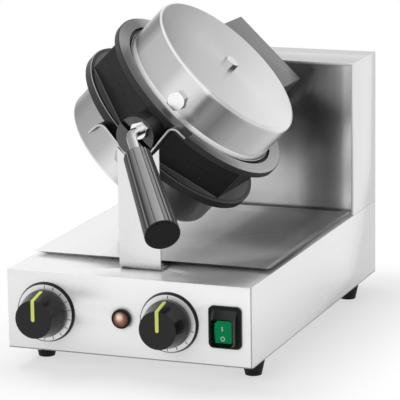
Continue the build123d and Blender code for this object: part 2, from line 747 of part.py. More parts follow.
# Controls: black bezel, printed dial, knob on its spindle, and the body behind the panel
for name, x in (("thermostat", left_dial_x), ("timer", right_dial_x)):
    with BuildPart() as bezel:
        with BuildSketch(facing(panel_y, x, control_z)):
            Circle(BEZEL_RADIUS)
        with BuildSketch(facing(panel_y - BEZEL_DEPTH, x, control_z)):
            Circle(BEZEL_FRONT_RADIUS)
        loft()
        with BuildSketch(facing(panel_y - BEZEL_DEPTH, x, control_z)):
            Circle(BEZEL_FRONT_RADIUS - BEZEL_RING)
        extrude(amount=-DIAL_RECESS, mode=Mode.SUBTRACT)
        with BuildSketch(facing(panel_y - BEZEL_DEPTH, x, control_z)):
            Circle(BUSH_RADIUS + HOLE_PLAY)
        extrude(amount=-BEZEL_DEPTH, mode=Mode.SUBTRACT)
    save(bezel, f"{name}_bezel")

    with BuildPart() as dial:
        with BuildSketch(facing(panel_y - BEZEL_DEPTH + DIAL_RECESS, x, control_z)):
            Circle(BEZEL_FRONT_RADIUS - BEZEL_RING - PANEL_PLAY)
            Circle(BUSH_RADIUS + HOLE_PLAY, mode=Mode.SUBTRACT)
        extrude(amount=DIAL_THICKNESS)
    save(dial, f"{name}_dial")

    with BuildPart() as body:
        with BuildSketch(facing(panel_y + SHEET, x, control_z)):
            RectangleRounded(CONTROL_BODY, CONTROL_BODY, CONTROL_BODY_ROUND)
        extrude(amount=-CONTROL_BODY_DEPTH)
        with BuildSketch(facing(panel_y + SHEET, x, control_z)):
            Circle(BUSH_RADIUS)
        extrude(amount=SHEET + BEZEL_DEPTH)
        with BuildSketch(facing(panel_y - BEZEL_DEPTH, x, control_z)):
            Circle(SPINDLE_RADIUS + RUN)
        extrude(amount=-(BEZEL_DEPTH + SHEET + SPINDLE_IN_BODY + END_PLAY), mode=Mode.SUBTRACT)
    save(body, f"{name}_body")

    knob_back = BEZEL_DEPTH + END_PLAY + HOLE_PLAY
    with BuildPart() as knob:
        with BuildSketch(Plane(origin=(x, panel_y, control_z), x_dir=(1, 0, 0), z_dir=(0, 0, 1))):
            with BuildLine():
                Polyline(
                    (0, -knob_back),
                    (KNOB_BASE_RADIUS, -knob_back),
                    (KNOB_BASE_RADIUS, -knob_back - KNOB_SKIRT),
                    (KNOB_FACE_RADIUS, -KNOB_FACE_DEPTH),
                    (0, -KNOB_FACE_DEPTH),
                    close=True,
                )
            make_face()
        revolve(axis=Axis((x, panel_y, control_z), (0, 1, 0)))
        fillet(knob.faces().sort_by(Axis.Y)[0].edges(), KNOB_ROUND)
        with BuildSketch(facing(panel_y - knob_back, x, control_z)):
            Circle(SPINDLE_RADIUS + RUN / 2)
        extrude(amount=SPINDLE_IN_KNOB, mode=Mode.SUBTRACT)
    save(knob, f"{name}_knob")

    with BuildPart() as spindle:
        with BuildSketch(facing(panel_y - knob_back - SPINDLE_IN_KNOB + END_PLAY, x, control_z)):
            Circle(SPINDLE_RADIUS)
        extrude(amount=-(knob_back + SPINDLE_IN_KNOB - END_PLAY + SHEET + SPINDLE_IN_BODY))
    save(spindle, f"{name}_spindle")

# Signal lamp
with BuildPart() as lamp_holder:
    with BuildSketch(facing(panel_y, lamp_x, control_z)):
        Circle(LAMP_RADIUS)
    extrude(amount=LAMP_DEPTH)
    chamfer(lamp_holder.faces().sort_by(Axis.Y)[0].edges(), LAMP_CHAMFER)
    with BuildSketch(facing(panel_y, lamp_x, control_z)):
        Circle(LAMP_BODY_RADIUS)
    extrude(amount=-LAMP_BODY_DEPTH)
    with BuildSketch(facing(panel_y - LAMP_DEPTH, lamp_x, control_z)):
        Circle(LAMP_LENS_RADIUS + RUN)
    extrude(amount=-LAMP_RECESS, mode=Mode.SUBTRACT)
save(lamp_holder, "lamp_holder")

with BuildPart() as lamp_lens:
    dome_radius = (LAMP_LENS_RADIUS**2 + LAMP_DOME**2) / (2 * LAMP_DOME)
    dome_turn = asin(LAMP_LENS_RADIUS / dome_radius) / 2
    lens_plane = Plane(origin=(lamp_x, panel_y - LAMP_DEPTH, control_z), x_dir=(1, 0, 0), z_dir=(0, 0, 1))
    with BuildSketch(lens_plane):
        with BuildLine():
            Polyline(
                (0, -LAMP_DOME),
                (0, LAMP_RECESS),
                (LAMP_LENS_RADIUS, LAMP_RECESS),
                (LAMP_LENS_RADIUS, 0),
            )
            ThreePointArc(
                (LAMP_LENS_RADIUS, 0),
                (dome_radius * sin(dome_turn), dome_radius * (1 - cos(dome_turn)) - LAMP_DOME),
                (0, -LAMP_DOME),
            )
        make_face()
    revolve(axis=Axis((lamp_x, panel_y, control_z), (0, 1, 0)))
save(lamp_lens, "lamp_lens")

# Rocker switch under a clear splash boot. At rest the rocker is pushed in at its bottom
rocker_pivot = Plane(
    origin=(switch_x, panel_y + ROCKER_PIVOT, control_z - BOOT_DROP),
    x_dir=(0, cos(radians(ROCKER_TILT)), sin(radians(ROCKER_TILT))),
    z_dir=(1, 0, 0),
)

with BuildPart() as switch_frame:
    with BuildSketch(facing(panel_y, switch_x, control_z)):
        RectangleRounded(SWITCH_WIDTH, SWITCH_HEIGHT, SWITCH_ROUND)
    extrude(amount=SWITCH_DEPTH)
    chamfer(switch_frame.faces().sort_by(Axis.Y)[0].edges(), SWITCH_CHAMFER)
    with BuildSketch(facing(panel_y, switch_x, control_z - BOOT_DROP)):
        Rectangle(SWITCH_BODY_WIDTH, SWITCH_BODY_HEIGHT)
    extrude(amount=-SWITCH_BODY_DEPTH)
    with BuildSketch(facing(panel_y - SWITCH_DEPTH, switch_x, control_z - BOOT_DROP)):
        Rectangle(SWITCH_WELL_WIDTH, SWITCH_WELL_HEIGHT)
    extrude(amount=-(SWITCH_DEPTH + SWITCH_WELL_DEPTH), mode=Mode.SUBTRACT)
    with BuildSketch(rocker_pivot.offset(-SWITCH_BODY_WIDTH / 2)):
        Circle(ROCKER_PIN_RADIUS + RUN)
    extrude(amount=SWITCH_BODY_WIDTH, mode=Mode.SUBTRACT)
save(switch_frame, "switch_frame")

with BuildPart() as switch_boot:
    for wall, mode in ((0, Mode.ADD), (BOOT_WALL, Mode.SUBTRACT)):
        with BuildSketch(facing(panel_y - SWITCH_DEPTH, switch_x, control_z)):
            RectangleRounded(BOOT_BASE_WIDTH - 2 * wall, BOOT_BASE_HEIGHT - 2 * wall, BOOT_ROUND - wall / 2)
        boot_face_y = panel_y - SWITCH_DEPTH - BOOT_STAND + wall
        with BuildSketch(facing(boot_face_y, switch_x, control_z - BOOT_DROP)):
            RectangleRounded(BOOT_FACE_WIDTH - 2 * wall, BOOT_FACE_HEIGHT - 2 * wall, BOOT_ROUND - wall / 2)
        loft(mode=mode)
save(switch_boot, "switch_boot")

with BuildPart() as rocker:
    with BuildSketch(rocker_pivot.offset(-ROCKER_WIDTH / 2)):
        with BuildLine():
            rocker_end = ROCKER_FACE - ROCKER_HEIGHT / 2 * tan(radians(ROCKER_TILT))
            Polyline(
                (-ROCKER_FACE, 0),
                (-rocker_end, ROCKER_HEIGHT / 2),
                (0, ROCKER_HEIGHT / 2),
                (ROCKER_BACK, ROCKER_HEIGHT / 4),
                (ROCKER_BACK, -ROCKER_HEIGHT / 4),
                (0, -ROCKER_HEIGHT / 2),
                (-rocker_end, -ROCKER_HEIGHT / 2),
                close=True,
            )
        make_face()
    extrude(amount=ROCKER_WIDTH)
    with BuildSketch(rocker_pivot.offset(END_PLAY - SWITCH_BODY_WIDTH / 2)):
        Circle(ROCKER_PIN_RADIUS)
    extrude(amount=SWITCH_BODY_WIDTH - 2 * END_PLAY)
save(rocker, "rocker")

# The two halves of the iron: alike castings under the same cover, one of them turned over
nose_half = BLOCK_HALF - (BLOCK_NOSE - BLOCK_SIDE) / tan(radians(BLOCK_SLOPE))
block_outline = [
    (BLOCK_HALF, -BLOCK_SIDE),
    (nose_half, -BLOCK_NOSE),
    (-nose_half, -BLOCK_NOSE),
    (-BLOCK_HALF, -BLOCK_SIDE),
    (-BLOCK_HALF, BLOCK_SIDE),
    (-nose_half, BLOCK_NOSE),
    (nose_half, BLOCK_NOSE),
    (BLOCK_HALF, BLOCK_SIDE),
]
pocket_places = []
for row in range(-POCKET_RINGS, POCKET_RINGS + 1):
    count = 2 * POCKET_RINGS + 1 - abs(row)
    for i in range(count):
        pocket_places.append(((i - (count - 1) / 2) * POCKET_PITCH, row * POCKET_PITCH * sin(radians(60))))
pocket_sphere = (POCKET_RADIUS**2 + POCKET_DEPTH**2) / (2 * POCKET_DEPTH)
pocket_centre = FACE_GAP + FIELD_DEPTH + POCKET_DEPTH - pocket_sphere
terminal_angle = radians(180 - ELEMENT_SWEEP / 2 + TERMINAL_TURN)
clamp_notch = 2 * (ELEMENT_RADIUS * sin(terminal_angle) + TERMINAL_RADIUS + NOTCH_PLAY)

for name, half, journal_gap, block_height, flange_thickness in (
    ("upper", IRON, LID_JOURNAL_GAP, BLOCK_HEIGHT, FLANGE_THICKNESS),
    ("lower", UNDER, JOURNAL_GAP, LOWER_BLOCK_HEIGHT, LOWER_FLANGE_THICKNESS),
):
    flange_top = block_height + flange_thickness
    cover_top = flange_top + COVER_HEIGHT
    cover_inside = cover_top - COVER_SHEET
    with BuildPart(half) as pan:
        with BuildSketch(half.offset(FACE_GAP)):
            with BuildLine():
                Polyline(*block_outline, close=True)
            make_face()
        extrude(amount=block_height - FACE_GAP)
        fillet(pan.edges().filter_by(Axis(half.origin, half.z_dir)), BLOCK_ROUND)
        # The journal is one half of a round boss at the front
        with BuildSketch(across(half, -JOURNAL_FRONT)):
            Circle(JOURNAL_RADIUS)
            with Locations((0, journal_gap)):
                Rectangle(
                    3 * JOURNAL_RADIUS,
                    2 * JOURNAL_RADIUS,
                    align=(Align.CENTER, Align.MAX),
                    mode=Mode.SUBTRACT,
                )
        extrude(amount=-(JOURNAL_FRONT - BLOCK_NOSE + JOURNAL_RADIUS))
        # Neck behind the journal carries it into the flange
        with BuildSketch(half.offset(2 * JOURNAL_GAP)):
            with Locations((0, -FLANGE_RADIUS)):
                Rectangle(NECK_WIDTH, NECK_DEPTH, align=(Align.CENTER, Align.MIN))
        extrude(amount=flange_top - JOURNAL_NECK - 2 * JOURNAL_GAP)
        with BuildSketch(beside(half, 0)):
            with BuildLine():
                Polyline(
                    (0, block_height),
                    (FLANGE_RADIUS - FLANGE_CHAMFER, block_height),
                    (FLANGE_RADIUS, block_height + FLANGE_CHAMFER),
                    (FLANGE_RADIUS, flange_top - FLANGE_CHAMFER),
                    (FLANGE_RADIUS - FLANGE_CHAMFER, flange_top),
                    (0, flange_top),
                    close=True,
                )
            make_face()
        revolve(axis=Axis(half.origin, half.z_dir))
        with BuildSketch(half.offset(flange_top)):
            Ellipse(GROOVE_REACH, GROOVE_WAIST)
            Circle(GROOVE_INNER, mode=Mode.SUBTRACT)
        extrude(amount=-GROOVE_DEPTH, mode=Mode.SUBTRACT)
        # Shallow field with round pockets in the cooking face
        with BuildSketch(half.offset(FACE_GAP)):
            Circle(FIELD_RADIUS)
        extrude(amount=FIELD_DEPTH, mode=Mode.SUBTRACT)
        with Locations(*[(x, y, pocket_centre) for x, y in pocket_places]):
            Sphere(pocket_sphere, mode=Mode.SUBTRACT)
        # Post and boss behind the flange take the bolts of the cover
        with BuildSketch(half.offset(flange_top)):
            Circle(POST_RADIUS)
        extrude(amount=cover_inside - flange_top)
        with BuildSketch(half.offset(flange_top)):
            with Locations((0, -(COVER_RADIUS - COVER_SHEET - BOSS_PLAY))):
                Rectangle(BOSS_WIDTH, BOSS_DEPTH, align=(Align.CENTER, Align.MIN))
        extrude(amount=BOSS_HEIGHT)
        with BuildSketch(half.offset(cover_inside)):
            Circle(SMALL_BOLT_RADIUS + RUN)
        extrude(amount=-SMALL_BOLT_LENGTH, mode=Mode.SUBTRACT)
        with BuildSketch(across(half, -COVER_RADIUS, LARGE_BOLT_LEVEL)):
            Circle(LARGE_BOLT_RADIUS + RUN)
        extrude(amount=-LARGE_BOLT_LENGTH - END_PLAY, mode=Mode.SUBTRACT)
        if name == "upper":
            # Hinge knuckle at the rear and the threaded seat of the handle at the front
            with BuildSketch(beside(half, -KNUCKLE_WIDTH / 2)):
                with Locations((pin_back, PIN_LEVEL)):
                    Circle(KNUCKLE_RADIUS)
                with Locations((KNUCKLE_ROOT, KNUCKLE_ROOT_LEVEL)):
                    Rectangle(
                        KNUCKLE_ROOT_THICKNESS,
                        block_height - KNUCKLE_ROOT_LEVEL,
                        align=(Align.MIN, Align.MIN),
                    )
                make_hull()
                with Locations((pin_back, PIN_LEVEL)):
                    Circle(PIN_RADIUS + RUN, mode=Mode.SUBTRACT)
            extrude(amount=KNUCKLE_WIDTH)
            with BuildSketch(across(half, -JOURNAL_FRONT, ROD_LEVEL)):
                Circle(ROD_RADIUS + RUN)
            extrude(amount=-ROD_SEAT - END_PLAY, mode=Mode.SUBTRACT)
        else:
            # Tail at the rear that bolts to the web of the yoke
            with BuildSketch(half.offset(TAIL_GAP)):
                with Locations((0, TAIL_ROOT)):
                    Rectangle(2 * TAIL_HALF, web_front - TAIL_ROOT, align=(Align.CENTER, Align.MIN))
            extrude(amount=block_height - TAIL_GAP)
            with BuildSketch(half.offset(TAIL_GAP / 2)):
                Circle(FIELD_RADIUS)
            extrude(amount=FIELD_DEPTH + FACE_GAP - TAIL_GAP / 2, mode=Mode.SUBTRACT)
            with BuildSketch(across(half, web_front)):
                with Locations((-YOKE_SCREW_X, YOKE_SCREW_LEVEL), (YOKE_SCREW_X, YOKE_SCREW_LEVEL)):
                    Circle(YOKE_SCREW_RADIUS + RUN)
            extrude(amount=YOKE_SCREW_LENGTH - WEB_THICKNESS + END_PLAY, mode=Mode.SUBTRACT)
            # Half-round groove for the wires that leave through the shaft
            with BuildSketch(across(half, web_front)):
                Circle(SHAFT_BORE)
            extrude(amount=WIRE_GROOVE, mode=Mode.SUBTRACT)
    save(pan, f"{name}_pan")

    with BuildPart() as cover:
        with BuildSketch(half.offset(flange_top)):
            Circle(COVER_RADIUS)
        extrude(amount=COVER_HEIGHT)
        fillet(cover.faces().sort_by(Axis(half.origin, half.z_dir))[-1].edges(), COVER_ROUND)
        offset(
            amount=-COVER_SHEET, openings=cover.faces().sort_by(Axis(half.origin, half.z_dir))[0]
        )
        with BuildSketch(beside(half, 0)):
            with BuildLine():
                Polyline(
                    (COVER_RADIUS - COVER_SHEET / 2, flange_top),
                    (COVER_RADIUS + COVER_FLARE, flange_top),
                    (COVER_RADIUS + COVER_FLARE, flange_top + COVER_FLARE),
                    (COVER_RADIUS, flange_top + COVER_FLARE_HEIGHT),
                    (COVER_RADIUS - COVER_SHEET / 2, flange_top + COVER_FLARE_HEIGHT),
                    close=True,
                )
            make_face()
        revolve(axis=Axis(half.origin, half.z_dir))
        with BuildSketch(half.offset(cover_top)):
            Circle(SMALL_BOLT_RADIUS + HOLE_PLAY)
        extrude(amount=-(COVER_SHEET + CUT_PAST), mode=Mode.SUBTRACT)
        with BuildSketch(across(half, -COVER_RADIUS, LARGE_BOLT_LEVEL)):
            Circle(LARGE_BOLT_RADIUS + HOLE_PLAY)
        extrude(amount=-(COVER_SHEET + CUT_PAST), mode=Mode.SUBTRACT)
    save(cover, f"{name}_cover")

    # A small bolt in the middle of the cover and a large one in its front
    with BuildPart() as cover_bolts:
        hexagon_head(half.offset(cover_top), SMALL_BOLT_FLATS, SMALL_BOLT_HEAD)
        with BuildSketch(half.offset(cover_top)):
            Circle(SMALL_BOLT_RADIUS)
        extrude(amount=-(SMALL_BOLT_LENGTH + COVER_SHEET - END_PLAY))
        hexagon_head(across(half, -COVER_RADIUS, LARGE_BOLT_LEVEL), LARGE_BOLT_FLATS, LARGE_BOLT_HEAD)
        with BuildSketch(across(half, -COVER_RADIUS, LARGE_BOLT_LEVEL)):
            Circle(LARGE_BOLT_RADIUS)
        extrude(amount=-LARGE_BOLT_LENGTH)
    save(cover_bolts, f"{name}_cover_bolts")

    with BuildPart() as element:
        element_level = flange_top + ELEMENT_WIRE + ELEMENT_PLAY
        with BuildLine(half.offset(element_level)):
            ring = CenterArc((0, 0), ELEMENT_RADIUS, 270 - ELEMENT_SWEEP / 2, ELEMENT_SWEEP)
        with BuildSketch(Plane(origin=ring @ 0, z_dir=ring % 0)):
            Circle(ELEMENT_WIRE)
        sweep(path=ring)
        for end in (ring @ (TERMINAL_TURN / ELEMENT_SWEEP), ring @ (1 - TERMINAL_TURN / ELEMENT_SWEEP)):
            with BuildSketch(Plane(origin=end, x_dir=half.x_dir, z_dir=half.z_dir)):
                Circle(TERMINAL_RADIUS)
            extrude(amount=TERMINAL_LENGTH)
    save(element, f"{name}_element")

    with BuildPart() as clamp:
        clamp_level = flange_top + 2 * (ELEMENT_WIRE + ELEMENT_PLAY)
        with BuildSketch(half.offset(clamp_level)):
            Circle(CLAMP_RADIUS)
            Circle(POST_RADIUS + HOLE_PLAY, mode=Mode.SUBTRACT)
            with Locations((0, CLAMP_RADIUS)):
                Rectangle(
                    clamp_notch,
                    2 * (CLAMP_RADIUS - ELEMENT_RADIUS) + clamp_notch / 2,
                    mode=Mode.SUBTRACT,
                )
        extrude(amount=CLAMP_THICKNESS)
    save(clamp, f"{name}_element_clamp")

# Hinge behind the iron: a sheet box on the lid turns on a pin in the yoke of the lower pan
lid_back = BLOCK_HEIGHT + FLANGE_THICKNESS
box_bottom = lid_back + HOLE_PLAY
with BuildPart() as hinge_box:
    with BuildSketch(IRON.offset(box_bottom)):
        with Locations((0, box_rear)):
            Rectangle(2 * BOX_HALF, box_rear - BOX_FRONT, align=(Align.CENTER, Align.MAX))
    extrude(amount=BOX_TOP - box_bottom)
    offset(
        amount=-BOX_SHEET,
        openings=[
            hinge_box.faces().sort_by(Axis(IRON.origin, IRON.z_dir))[0],
            hinge_box.faces().sort_by(Axis.Y)[0],
        ],
    )
    with BuildSketch(IRON.offset(lid_back)):
        Circle(COVER_RADIUS + COVER_FLARE + HOLE_PLAY)
    extrude(amount=COVER_HEIGHT, mode=Mode.SUBTRACT)
    with BuildSketch(beside(IRON, -BOX_HALF - CUT_PAST)):
        with Locations((pin_back, PIN_LEVEL)):
            Circle(PIN_RADIUS + HOLE_PLAY)
    extrude(amount=2 * (BOX_HALF + CUT_PAST), mode=Mode.SUBTRACT)
save(hinge_box, "hinge_box")

with BuildPart() as hinge_yoke:
    with BuildSketch(across(IRON, web_front)):
        with Locations((0, WEB_TOP)):
            Rectangle(2 * cheek_outer, WEB_TOP - WEB_BOTTOM, align=(Align.CENTER, Align.MAX))
    extrude(amount=-WEB_THICKNESS)
    for along in (-cheek_outer, cheek_inner):
        with BuildSketch(beside(IRON, along)):
            with Locations((pin_back, PIN_LEVEL)):
                Circle(EAR_RADIUS)
            with Locations((web_front + WEB_THICKNESS, WEB_TOP)):
                Rectangle(WEB_THICKNESS, WEB_TOP - WEB_BOTTOM, align=(Align.MAX, Align.MAX))
            make_hull()
        extrude(amount=CHEEK_THICKNESS)
    with BuildSketch(beside(IRON, -cheek_outer)):
        with Locations((pin_back, PIN_LEVEL)):
            Circle(PIN_RADIUS + RUN)
    extrude(amount=2 * cheek_outer, mode=Mode.SUBTRACT)
    with BuildSketch(across(IRON, web_front)):
        Circle(SHAFT_BORE)
        with Locations((-YOKE_SCREW_X, -YOKE_SCREW_LEVEL), (YOKE_SCREW_X, -YOKE_SCREW_LEVEL)):
            Circle(YOKE_SCREW_RADIUS + RUN)
    extrude(amount=-WEB_THICKNESS, mode=Mode.SUBTRACT)
save(hinge_yoke, "hinge_yoke")

with BuildPart() as yoke_screws:
    with BuildSketch(across(IRON, web_front + WEB_THICKNESS)):
        with Locations((-YOKE_SCREW_X, -YOKE_SCREW_LEVEL), (YOKE_SCREW_X, -YOKE_SCREW_LEVEL)):
            Circle(YOKE_SCREW_HEAD_RADIUS)
    extrude(amount=-YOKE_SCREW_HEAD)
    with BuildSketch(across(IRON, web_front + WEB_THICKNESS)):
        with Locations((-YOKE_SCREW_X, -YOKE_SCREW_LEVEL), (YOKE_SCREW_X, -YOKE_SCREW_LEVEL)):
            Circle(YOKE_SCREW_RADIUS)
    extrude(amount=YOKE_SCREW_LENGTH)
save(yoke_screws, "yoke_screws")

with BuildPart() as hinge_pin:
    with BuildSketch(beside(IRON, -cheek_outer - END_PLAY)):
        with Locations((pin_back, PIN_LEVEL)):
            Circle(PIN_HEAD_RADIUS)
    extrude(amount=-PIN_HEAD)
    with BuildSketch(beside(IRON, -cheek_outer - END_PLAY)):
        with Locations((pin_back, PIN_LEVEL)):
            Circle(PIN_RADIUS)
    extrude(amount=2 * (cheek_outer + END_PLAY) + PIN_HEAD)
save(hinge_pin, "hinge_pin")

with BuildPart() as pin_clip:
    with BuildSketch(beside(IRON, cheek_outer + END_PLAY)):
        with Locations((pin_back, PIN_LEVEL)):
            Circle(PIN_HEAD_RADIUS)
            Circle(PIN_RADIUS + GRIP_FIT, mode=Mode.SUBTRACT)
    extrude(amount=CLIP_THICKNESS)
save(pin_clip, "hinge_pin_clip")

with BuildPart() as pivot_shaft:
    shaft_front = iron_y + web_front + WEB_THICKNESS
    shaft_rear = column_panel_y + BEARING_LENGTH + COLLAR_WIDTH + 2 * END_PLAY
    with BuildSketch(facing(shaft_front, 0, axis_z)):
        Circle(SHAFT_FLANGE_RADIUS)
    extrude(amount=-SHAFT_FLANGE)
    with BuildSketch(facing(shaft_front, 0, axis_z)):
        Circle(SHAFT_RADIUS)
    extrude(amount=-(shaft_rear - shaft_front))
    with BuildSketch(facing(shaft_front, 0, axis_z)):
        Circle(SHAFT_BORE)
    extrude(amount=-(shaft_rear - shaft_front), mode=Mode.SUBTRACT)
save(pivot_shaft, "pivot_shaft")

with BuildPart() as shaft_collar:
    with BuildSketch(facing(column_panel_y + BEARING_LENGTH + END_PLAY, 0, axis_z)):
        Circle(COLLAR_RADIUS)
        Circle(SHAFT_RADIUS + GRIP_FIT, mode=Mode.SUBTRACT)
    extrude(amount=-COLLAR_WIDTH)
save(shaft_collar, "shaft_collar")

# Handle on the lid: a bent rod held by a nut, a fluted grip and its end cap
handle_level = IRON.offset(ROD_LEVEL)
rod_reach = GRIP_START + ROD_IN_GRIP
rod_end = (handle_dir[0] * rod_reach, handle_dir[1] * rod_reach - ROD_CORNER)
handle_axis = IRON.x_dir * handle_dir[0] + Vector(0, 1, 0) * handle_dir[1]


def on_handle(distance):
    """Plane square to the handle's axis, this far along it from the bend's corner."""
    along, back = handle_dir[0] * distance, handle_dir[1] * distance - ROD_CORNER
    return Plane(
        origin=handle_level.from_local_coords((along, back, 0)), x_dir=IRON.z_dir, z_dir=handle_axis
    )


with BuildPart() as handle_rod:
    with BuildLine(handle_level):
        rod_path = FilletPolyline(
            (0, -JOURNAL_FRONT + ROD_SEAT),
            grip_corner,
            rod_end,
            radius=ROD_BEND,
        )
    with BuildSketch(Plane(origin=rod_path @ 0, z_dir=rod_path % 0)):
        Circle(ROD_RADIUS)
    sweep(path=rod_path)
save(handle_rod, "handle_rod")

with BuildPart() as handle_nut:
    hexagon_head(across(IRON, -JOURNAL_FRONT, ROD_LEVEL), HANDLE_NUT_FLATS, HANDLE_NUT)
    with BuildSketch(across(IRON, -JOURNAL_FRONT, ROD_LEVEL)):
        Circle(ROD_RADIUS + GRIP_FIT)
    extrude(amount=HANDLE_NUT, mode=Mode.SUBTRACT)
save(handle_nut, "handle_nut")

with BuildPart() as handle_grip:
    for distance, radius in ((GRIP_START, GRIP_NEAR_RADIUS), (GRIP_START + GRIP_LENGTH, GRIP_FAR_RADIUS)):
        with BuildSketch(on_handle(distance)):
            Circle(radius)
            with PolarLocations(radius + FLUTE_RISE, GRIP_FLUTES):
                Circle(FLUTE_RADIUS, mode=Mode.SUBTRACT)
    loft()
    with BuildSketch(on_handle(GRIP_START)):
        Circle(ROD_RADIUS + GRIP_FIT)
    extrude(amount=ROD_IN_GRIP + END_PLAY, mode=Mode.SUBTRACT)
save(handle_grip, "handle_grip")

with BuildPart() as handle_cap:
    with BuildSketch(on_handle(GRIP_START + GRIP_LENGTH)):
        Circle(GRIP_FAR_RADIUS)
    extrude(amount=CAP_THICKNESS)
    fillet(handle_cap.edges().group_by(Axis(handle_level.origin, handle_axis))[-1], CAP_ROUND)
save(handle_cap, "handle_cap")
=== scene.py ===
"""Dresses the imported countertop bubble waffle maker: finishes, fine edges, printed marks and studio."""

import logging
from collections.abc import Sequence
from dataclasses import dataclass
from enum import Enum
from math import acos, cos, pi, radians, sin, tan
from typing import Any, Protocol

import bmesh
import bpy
from mathutils import Matrix, Vector


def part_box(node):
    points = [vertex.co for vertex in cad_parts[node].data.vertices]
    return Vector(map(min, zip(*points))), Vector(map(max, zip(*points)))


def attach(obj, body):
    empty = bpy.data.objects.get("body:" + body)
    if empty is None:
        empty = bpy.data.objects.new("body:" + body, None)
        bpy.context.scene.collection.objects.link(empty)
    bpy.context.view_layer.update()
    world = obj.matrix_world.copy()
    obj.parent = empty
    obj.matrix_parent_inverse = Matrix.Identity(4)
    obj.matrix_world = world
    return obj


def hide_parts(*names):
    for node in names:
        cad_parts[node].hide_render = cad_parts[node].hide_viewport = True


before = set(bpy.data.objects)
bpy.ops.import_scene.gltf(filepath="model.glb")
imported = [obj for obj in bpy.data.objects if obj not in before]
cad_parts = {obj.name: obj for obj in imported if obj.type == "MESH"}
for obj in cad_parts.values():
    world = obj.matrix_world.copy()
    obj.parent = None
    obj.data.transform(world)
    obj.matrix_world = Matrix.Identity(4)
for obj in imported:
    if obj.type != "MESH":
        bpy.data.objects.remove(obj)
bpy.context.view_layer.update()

log = logging.getLogger("waffle_maker")

MM = 0.001
DEGREES = 180 / pi
X, Y, Z = (1, 0, 0), (0, 1, 0), (0, 0, 1)
# How squarely a surface faces a direction where it begins to count, and where it counts in full
SQUARELY = (0.7, 0.95)
# The sockets of a Mix node for colours go by place, since each of their names stands for several
MIX_INPUTS, MIX_RESULT = (0, 6, 7), 2

Place = tuple[float, float, float]
Colour = tuple[float, float, float]
Pair = tuple[float, float]
Stops = tuple[Pair, ...]
Shape = bmesh.types.BMesh


# Shader expressions


class Value:
    """A socket of a finish's nodes that takes part in sums, each of which adds its Math node."""

    def __init__(self, recipe: "Recipe", socket: bpy.types.NodeSocket) -> None:
        """Keeps the socket and the recipe that it belongs to."""
        self.recipe = recipe
        self.socket = socket

    def _math(self, operation: str, *terms: "Value | float") -> "Value":
        """Adds a Math node.

        Args:
            operation: The node's operation.
            terms: Its inputs in order.

        Returns:
            The node's result.
        """
        return self.recipe.node("ShaderNodeMath", dict(enumerate(terms)), operation=operation)

    def __add__(self, other: "Value | float") -> "Value":
        """The sum of two values."""
        return self._math("ADD", self, other)

    def __sub__(self, other: "Value | float") -> "Value":
        """The difference of two values."""
        return self._math("SUBTRACT", self, other)

    def __rsub__(self, other: float) -> "Value":
        """A number less this value."""
        return self._math("SUBTRACT", other, self)

    def __mul__(self, other: "Value | float") -> "Value":
        """The product of two values."""
        return self._math("MULTIPLY", self, other)

    def __truediv__(self, other: "Value | float") -> "Value":
        """The quotient of two values."""
        return self._math("DIVIDE", self, other)

    def __pow__(self, power: float) -> "Value":
        """This value to a power."""
        return self._math("POWER", self, power)

    def __neg__(self) -> "Value":
        """This value with its sign turned."""
        return self._math("MULTIPLY", self, -1.0)

    def __abs__(self) -> "Value":
        """This value without its sign."""
        return self._math("ABSOLUTE", self)

    __radd__ = __add__
    __rmul__ = __mul__

    def most(self, other: "Value | float") -> "Value":
        """The greater of two values."""
        return self._math("MAXIMUM", self, other)

    def sine(self) -> "Value":
        """The sine of this value."""
        return self._math("SINE", self)

    def turn_from(self, other: "Value") -> "Value":
        """The angle whose tangent is this value over another."""
        return self._math("ARCTAN2", self, other)

    def ease(self, low: float, high: float) -> "Value":
        """A smooth step.

        Args:
            low: Where the result is 0.
            high: Where the result is 1.

        Returns:
            The stepped value.
        """
        if low > high:
            return 1 - self.ease(high, low)
        limits = {"Value": self, "From Min": low, "From Max": high}
        return self.recipe.node("ShaderNodeMapRange", limits, interpolation_type="SMOOTHSTEP")


